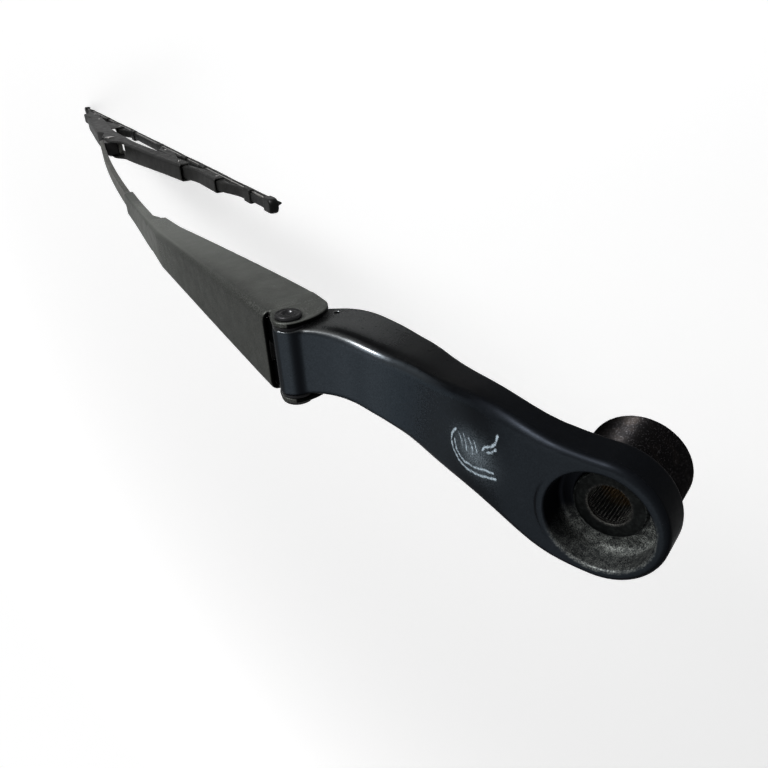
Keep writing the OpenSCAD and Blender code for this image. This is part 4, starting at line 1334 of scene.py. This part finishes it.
def retainer_wear(a, points, normal):
    """Where each finish of the retainer lies, as head_wear, with points and normals in the arm's axes."""
    u, v, w = points.T
    side = np.abs(v) > np.abs(v).max() - a.sheet_t - 0.4
    web = w > web_top(a, u) - 3
    facing = np.maximum(np.sign(v) * normal[:, 1], np.where(web | ~side, normal[:, 2], -1))
    half = np.interp(u, (0, a.channel_l), (np.abs(v).max(), a.channel_end_w / 2))
    from_fold = np.hypot(np.abs(v) - half, w - web_top(a, u))
    return {
        # Painted shade on faces that do not look outward: inner faces, cut edges and the underside.
        "hidden": 1 - ease((facing - 0.25) / 0.4),
        # Painted shade along the fold between web and flank, fading away from the hinge.
        "fold": np.exp(-((from_fold / 4.2) ** 2)) * (1 - ease((u - 10) / 130)),
        # A paler tone along the arm, away from both ends.
        "film": ease((u - 20) / 110) * (1 - ease((u - 165) / 60)),
        # Painted shade on the upward web, which takes more light; less of it towards the tail.
        "web": ease((normal[:, 2] - 0.3) / 0.4) * (1 - 0.5 * ease((u - 70) / 90)),
    }


# ---- operators


class WiperOperator:
    """What the operators share: sizes, finishes, places and the way to dress a piece."""

    bl_options = {"REGISTER", "UNDO"}

    def execute(self, context):
        s = context.scene
        self.h, self.a, self.b = sizes(s.wiper_head), sizes(s.wiper_arm), sizes(s.wiper_blade)
        self.f = s.wiper_finishes
        self.hinge, self.arm, self.blade = places(self.h, self.a)
        self.build()
        return {"FINISHED"}

    def dress(self, name, surface, place, body, nodes, slot, material):
        """Makes the piece, puts its finish on, ties it to its body, and hides the CAD nodes it replaces."""
        piece = new_piece(name, *facing_out(*surface), place)
        piece.data.materials.append(material)
        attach(piece, body)
        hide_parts(*nodes)
        return piece


class WIPER_OT_head(WiperOperator, bpy.types.Operator):
    """Make the cast head with its filleted skin and worn gloss paint"""

    bl_idname = "wiper.head"
    bl_label = "Cast head"

    def build(self):
        h = self.h
        points, quads = make_head(h, self.a)
        piece = self.dress("cast_head", (points, quads), np.eye(4), "head", ["arm_head"], "head_paint",
                           head_paint(self.f))
        piece.data.materials.append(boss_metal(self.f))
        on_boss = (points[:, 2] < h.face_z - h.eye_t - 1.0) & (np.hypot(*points.T[:2]) < h.boss_r + 0.3)
        piece.data.polygons.foreach_set("material_index", on_boss[quads].all(1).astype(np.int32))
        store(piece, head_wear(h, self.a, points, normals_of(piece)))


class WIPER_OT_sleeve(WiperOperator, bpy.types.Operator):
    """Make the steel sleeve with its splined, rusty bore"""

    bl_idname = "wiper.sleeve"
    bl_label = "Splined sleeve"

    def build(self):
        self.dress("splined_sleeve", make_sleeve(self.h), np.eye(4), "head", ["spline_sleeve"],
                   "sleeve_steel", sleeve_metal(self.f))


class WIPER_OT_hinge(WiperOperator, bpy.types.Operator):
    """Make the hinge rivet, its two flanged bushes and the anchor pin"""

    bl_idname = "wiper.hinge"
    bl_label = "Hinge"

    def build(self):
        h, f = self.h, self.f
        place = self.hinge @ along_y()
        self.dress("rivet", make_rivet(h, self.a), place, "arm", ["hinge_rivet"], "rivet_black",
                   satin_paint("rivet_paint", (0.022, 0.022, 0.023), f.dust, 0.26, 0.3))
        bush = black_plastic("bush_plastic", (0.008, 0.008, 0.009), f.dust, 0.4)
        points, quads = make_bush(h)
        self.dress("bush_at_minus_y", (points * [1, 1, -1], quads), place, "head", ["bush_upper"],
                   "bush_plastic", bush)
        self.dress("bush_at_plus_y", (points, quads), place, "head", ["bush_lower"], "bush_plastic", bush)
        self.dress("link_pin", make_anchor_pin(h), anchor_place(h) @ along_y(), "head", ["anchor_pin"],
                   "pin_steel", bare_steel("anchor_steel", (0.05, 0.05, 0.05), f.rust))


class WIPER_OT_spring(WiperOperator, bpy.types.Operator):
    """Make the close-wound tension spring and its bent link"""

    bl_idname = "wiper.spring"
    bl_label = "Spring"

    def build(self):
        h, a, f = self.h, self.a, self.f
        place = anchor_place(h) @ pitch(link_values(a)[0])
        self.dress("coil_spring", make_spring(a), place, "arm", ["tension_spring"], "spring_steel",
                   bare_steel("spring_wire", toned(f.steel, 0.6), f.rust, 0.38, 0.35))
        self.dress("bent_link", make_link(h), place, "link", ["spring_link"], "spring_steel",
                   bare_steel("link_steel", toned(f.steel, 0.5), f.rust, 0.4, 0.3))


class WIPER_OT_retainer(WiperOperator, bpy.types.Operator):
    """Make the pressed retainer with its ears, folds and crimped tail"""

    bl_idname = "wiper.retainer"
    bl_label = "Retainer"

    def build(self):
        a, f = self.a, self.f
        points, quads = make_retainer(self.h, a)
        piece = self.dress("pressed_retainer", (points, quads), self.arm, "arm", ["retainer"], "arm_paint",
                           satin_paint("retainer_paint", f.arm_paint, f.dust, 0.46, 1.0, f.web_painted_shade))
        store(piece, retainer_wear(a, points, normals_of(piece) @ self.arm[:3, :3]))


class WIPER_OT_bar(WiperOperator, bpy.types.Operator):
    """Make the flat bar with its bow and hook"""

    bl_idname = "wiper.bar"
    bl_label = "Flat bar"

    def build(self):
        self.dress("bowed_bar", make_bar(self.a), self.arm, "arm", ["flat_bar"], "bar_paint",
                   satin_paint("bar_satin_paint", self.f.bar_paint, self.f.dust, 0.44))


class WIPER_OT_hook(WiperOperator, bpy.types.Operator):
    """Make the clip inside the hook and the headed blade pin"""

    bl_idname = "wiper.hook"
    bl_label = "Clip and pin"

    def build(self):
        a, b, f = self.a, self.b, self.f
        self.dress("hook_clip", make_clip(a, b), self.blade @ pitch(hook_values(a)[1]), "arm", ["blade_clip"],
                   "clip_plastic", black_plastic("clip_black", (0.014, 0.014, 0.014), f.dust, 0.36))
        self.dress("pivot_pin", make_blade_pin(b), self.blade @ along_y(), "blade", ["blade_pin"], "pin_steel",
                   bare_steel("pivot_steel", toned(f.steel, 0.4), f.rust))


class WIPER_OT_frame(WiperOperator, bpy.types.Operator):
    """Make the bridge, the middle yokes and the claw yokes"""

    bl_idname = "wiper.frame"
    bl_label = "Blade frame"

    def build(self):
        a, b, f = self.a, self.b, self.f
        paint = satin_paint("blade_frame_paint", f.blade_paint, f.dust, 0.40, 1.6)
        self.dress("pressed_bridge", make_bridge(b, a), self.blade, "blade", ["bridge"], "blade_paint", paint)
        for side, name in ((-1, "near"), (1, "far")):
            self.dress(f"yoke_{name}", make_yoke(b, side), self.blade, f"yoke_{name}", [f"middle_yoke_{name}"],
                       "blade_paint", paint)
        spots = ((-1, -1, b.outer_half), (-1, 1, b.inner_half), (1, -1, b.inner_half), (1, 1, b.outer_half))
        for i, (side, out, half) in enumerate(spots, 1):
            middle = side * b.bridge_pin_x + out * b.claw_pin_x
            surface = make_claw_yoke(b, middle, half, min(4.0, b.far_rise) if i == 4 else 0.0)
            self.dress(f"claws_{i}", surface, self.blade, f"claw_{i}", [f"claw_yoke_{i}"], "blade_paint", paint)


class WIPER_OT_pins(WiperOperator, bpy.types.Operator):
    """Make the small pins and spacer rings of the blade frame"""

    bl_idname = "wiper.pins"
    bl_label = "Pins and spacers"

    def group(self, name, spots, surface, body, node, slot, material):
        """One object from copies of a small surface at several spots in the blade's axes."""
        points, quads = surface
        points = points @ along_y()[:3, :3].T
        all_points = np.concatenate([points + np.array([x, 0, z]) for x, z in spots])
        all_quads = np.concatenate([quads + i * len(points) for i in range(len(spots))])
        self.dress(name, (all_points, all_quads), self.blade, body, [node], slot, material)

    def build(self):
        b, f = self.b, self.f
        steel = bare_steel("pin_steel_dull", toned(f.steel, 0.35), f.rust)
        plastic = black_plastic("spacer_plastic", (0.02, 0.02, 0.02), f.dust, 0.5)
        spots = [(s * b.bridge_pin_x, b.bridge_pin_z) for s in (-1, 1)]
        self.group("bridge_pin_pair", spots, make_pin(b, b.bridge_end_w + 0.8), "blade", "bridge_pins",
                   "pin_steel", steel)
        self.group("bridge_spacers", spots, make_spacer(b, b.yoke_w - 2 * b.yoke_t - 0.2), "blade",
                   "bridge_bushes", "bush_plastic", plastic)
        for side, name in ((-1, "near"), (1, "far")):
            spots = [(side * b.bridge_pin_x + s * b.claw_pin_x, b.claw_pin_z) for s in (-1, 1)]
            self.group(f"claw_pins_{name}", spots, make_pin(b, b.yoke_w + 0.6), f"yoke_{name}",
                       f"yoke_pins_{name}", "pin_steel", steel)
            self.group(f"claw_spacers_{name}", spots, make_spacer(b, b.claw_w - 2 * b.yoke_t), f"yoke_{name}",
                       f"yoke_bushes_{name}", "bush_plastic", plastic)


class WIPER_OT_rubber(WiperOperator, bpy.types.Operator):
    """Make the rubber, its two rails and the end caps"""

    bl_idname = "wiper.rubber"
    bl_label = "Rubber and rails"

    def build(self):
        b, f = self.b, self.f
        self.dress("squeegee", make_rubber(b), self.blade, "blade", ["rubber"], "rubber_black",
                   black_plastic("squeegee_rubber", f.rubber, f.dust, 0.55))
        steel = bare_steel("rail_strip_steel", toned(f.steel, 0.5), f.rust, 0.36)
        for side, name in ((-1, "left"), (1, "right")):
            self.dress(f"rail_strip_{name}", make_rail(b, side), self.blade, "blade", [f"rail_{name}"],
                       "rail_steel", steel)
        plastic = black_plastic("cap_black", (0.003, 0.003, 0.003), f.dust, 0.42)
        for side, name in ((-1, "near"), (1, "far")):
            self.dress(f"moulded_cap_{name}", make_cap(b, side), self.blade, "blade", [f"end_cap_{name}"],
                       "cap_plastic", plastic)


def seen_rays(tree):
    """1 for rays from the camera and through gloss and glass, 0 for the light itself."""
    path = tree.nodes.new("ShaderNodeLightPath")
    seen = path.outputs["Is Camera Ray"]
    for ray in ("Is Glossy Ray", "Is Transmission Ray"):
        node = tree.nodes.new("ShaderNodeMath")
        node.operation = "MAXIMUM"
        tree.links.new(seen, node.inputs[0])
        tree.links.new(path.outputs[ray], node.inputs[1])
        seen = node.outputs[0]
    return seen


class WIPER_OT_stage(bpy.types.Operator):
    """Set the pale floor, the soft lights and the camera"""

    bl_idname = "wiper.stage"
    bl_label = "Studio"
    bl_options = {"REGISTER", "UNDO"}

    def execute(self, context):
        scene = context.scene
        studio = scene.wiper_studio
        scene.view_settings.view_transform = "Standard"
        self.world(scene, studio)
        self.floor(studio)
        head = (0.06, -0.01, 0.01)
        self.lamp("key_light", (0.45, -0.58, 0.45), head, (0.3, 0.3), studio.key)
        glint = self.lamp("glint_light", (0.33, -0.63, 0.25), head, (0.13, 0.09), studio.glint)
        glint.visible_diffuse = False
        self.lamp("fill_light", (0.15, 0.25, 0.9), (0.2, 0.0, -0.1), (0.9, 0.9), studio.fill)
        self.camera(scene)
        return {"FINISHED"}

    def world(self, scene, studio):
        """White for what the camera, gloss and glass see, and a softer level for the light itself."""
        world = bpy.data.worlds.new("studio_world")
        scene.world = world
        world.use_nodes = True
        tree = world.node_tree
        tree.nodes.clear()
        out = tree.nodes.new("ShaderNodeOutputWorld")
        back = tree.nodes.new("ShaderNodeBackground")
        back.inputs["Color"].default_value = (1, 1, 1, 1)
        mix = tree.nodes.new("ShaderNodeMix")
        tree.links.new(seen_rays(tree), mix.inputs[0])
        mix.inputs[2].default_value = studio.ambient
        mix.inputs[3].default_value = 1.0
        tree.links.new(mix.outputs[0], back.inputs["Strength"])
        tree.links.new(back.outputs[0], out.inputs[0])

    def floor(self, studio):
        """A pale disc below the object. Seen directly or in gloss it gains a glow that grows with the distance
        as the lamps fade, so it reads as white and still takes the shadow."""
        radii = np.array([[0.9], [1.8]])
        rings = spun(radii, 0 * radii + CAD_BOX[0].z - 0.002, 64) + [0.2, 0, 0]
        floor = new_piece("studio_floor", *capped(rings[::-1] / MM), np.eye(4))
        n = Nodes("floor_pale")
        x, y, _ = n.axis()
        glow = n.range(n.off_axis(x, y), 0.45, 1.6, 0.36, 0.78)
        n.set(Base_Color=studio.floor, Roughness=0.8, Specular_IOR_Level=0.1, Emission_Color=(1.0, 1.0, 1.0),
              Emission_Strength=n.times(seen_rays(n.tree), glow))
        floor.data.materials.append(n.material)

    def lamp(self, name, place, aim, size, watts):
        """A soft rectangular lamp at a place, turned towards a point."""
        data = bpy.data.lights.new(name, "AREA")
        data.shape = "RECTANGLE"
        data.size, data.size_y = size
        data.energy = watts
        lamp = bpy.data.objects.new(name, data)
        lamp.location = place
        lamp.rotation_mode = "QUATERNION"
        lamp.rotation_quaternion = (Vector(aim) - Vector(place)).to_track_quat("-Z", "Y")
        bpy.context.scene.collection.objects.link(lamp)
        return lamp

    def camera(self, scene):
        """The photograph's viewing angle, close to the head, with a wide lens, as fitted to the photograph.
        Right, up and back are the camera's own axes."""
        focal_px, picture_px = 702.26, 768
        data = bpy.data.cameras.new("camera")
        data.sensor_width = 36.0
        data.lens = data.sensor_width * focal_px / picture_px
        data.shift_x, data.shift_y = -0.0165, 0.0310
        data.clip_start, data.clip_end = 0.005, 20.0
        camera = bpy.data.objects.new("camera", data)
        right = (-0.8144, 0.0419, -0.5788)
        up = (0.2622, -0.8633, -0.4313)
        back = (-0.5177, -0.5030, 0.6921)
        rows = [[right[i], up[i], back[i], p] for i, p in enumerate((-0.0338, -0.0914, 0.1346))]
        camera.matrix_world = Matrix([*rows, [0, 0, 0, 1]])
        scene.collection.objects.link(camera)
        scene.camera = camera


class WIPER_PT_panel(bpy.types.Panel):
    """Wiper arm pieces and settings"""

    bl_label = "Wiper arm"
    bl_idname = "WIPER_PT_panel"
    bl_space_type = "VIEW_3D"
    bl_region_type = "UI"
    bl_category = "Wiper"

    def draw(self, context):
        layout = self.layout
        for operator in PIECES:
            layout.operator(operator.bl_idname)
        for group in ("wiper_finishes", "wiper_studio", "wiper_head", "wiper_arm", "wiper_blade"):
            box = layout.box()
            settings = getattr(context.scene, group)
            for key in settings.bl_rna.properties.keys():
                if key not in ("rna_type", "name"):
                    box.prop(settings, key)


GROUPS = {
    "wiper_head": WiperHeadSizes,
    "wiper_arm": WiperArmSizes,
    "wiper_blade": WiperBladeSizes,
    "wiper_finishes": WiperFinishes,
    "wiper_studio": WiperStudio,
}
PIECES = (
    WIPER_OT_head,
    WIPER_OT_sleeve,
    WIPER_OT_hinge,
    WIPER_OT_spring,
    WIPER_OT_retainer,
    WIPER_OT_bar,
    WIPER_OT_hook,
    WIPER_OT_frame,
    WIPER_OT_pins,
    WIPER_OT_rubber,
    WIPER_OT_stage,
)


def register():
    """Registers the settings, the operators and the panel."""
    for name, group in GROUPS.items():
        bpy.utils.register_class(group)
        setattr(bpy.types.Scene, name, bpy.props.PointerProperty(type=group))
    for cls in (*PIECES, WIPER_PT_panel):
        bpy.utils.register_class(cls)


def unregister():
    """Takes away what register added."""
    for cls in (WIPER_PT_panel, *reversed(PIECES)):
        bpy.utils.unregister_class(cls)
    for name, group in reversed(GROUPS.items()):
        delattr(bpy.types.Scene, name)
        bpy.utils.unregister_class(group)


def main():
    """Makes every piece and the stage."""
    register()
    for operator in PIECES:
        group, name = operator.bl_idname.split(".")
        getattr(getattr(bpy.ops, group), name)()


if __name__ == "__main__":
    main()
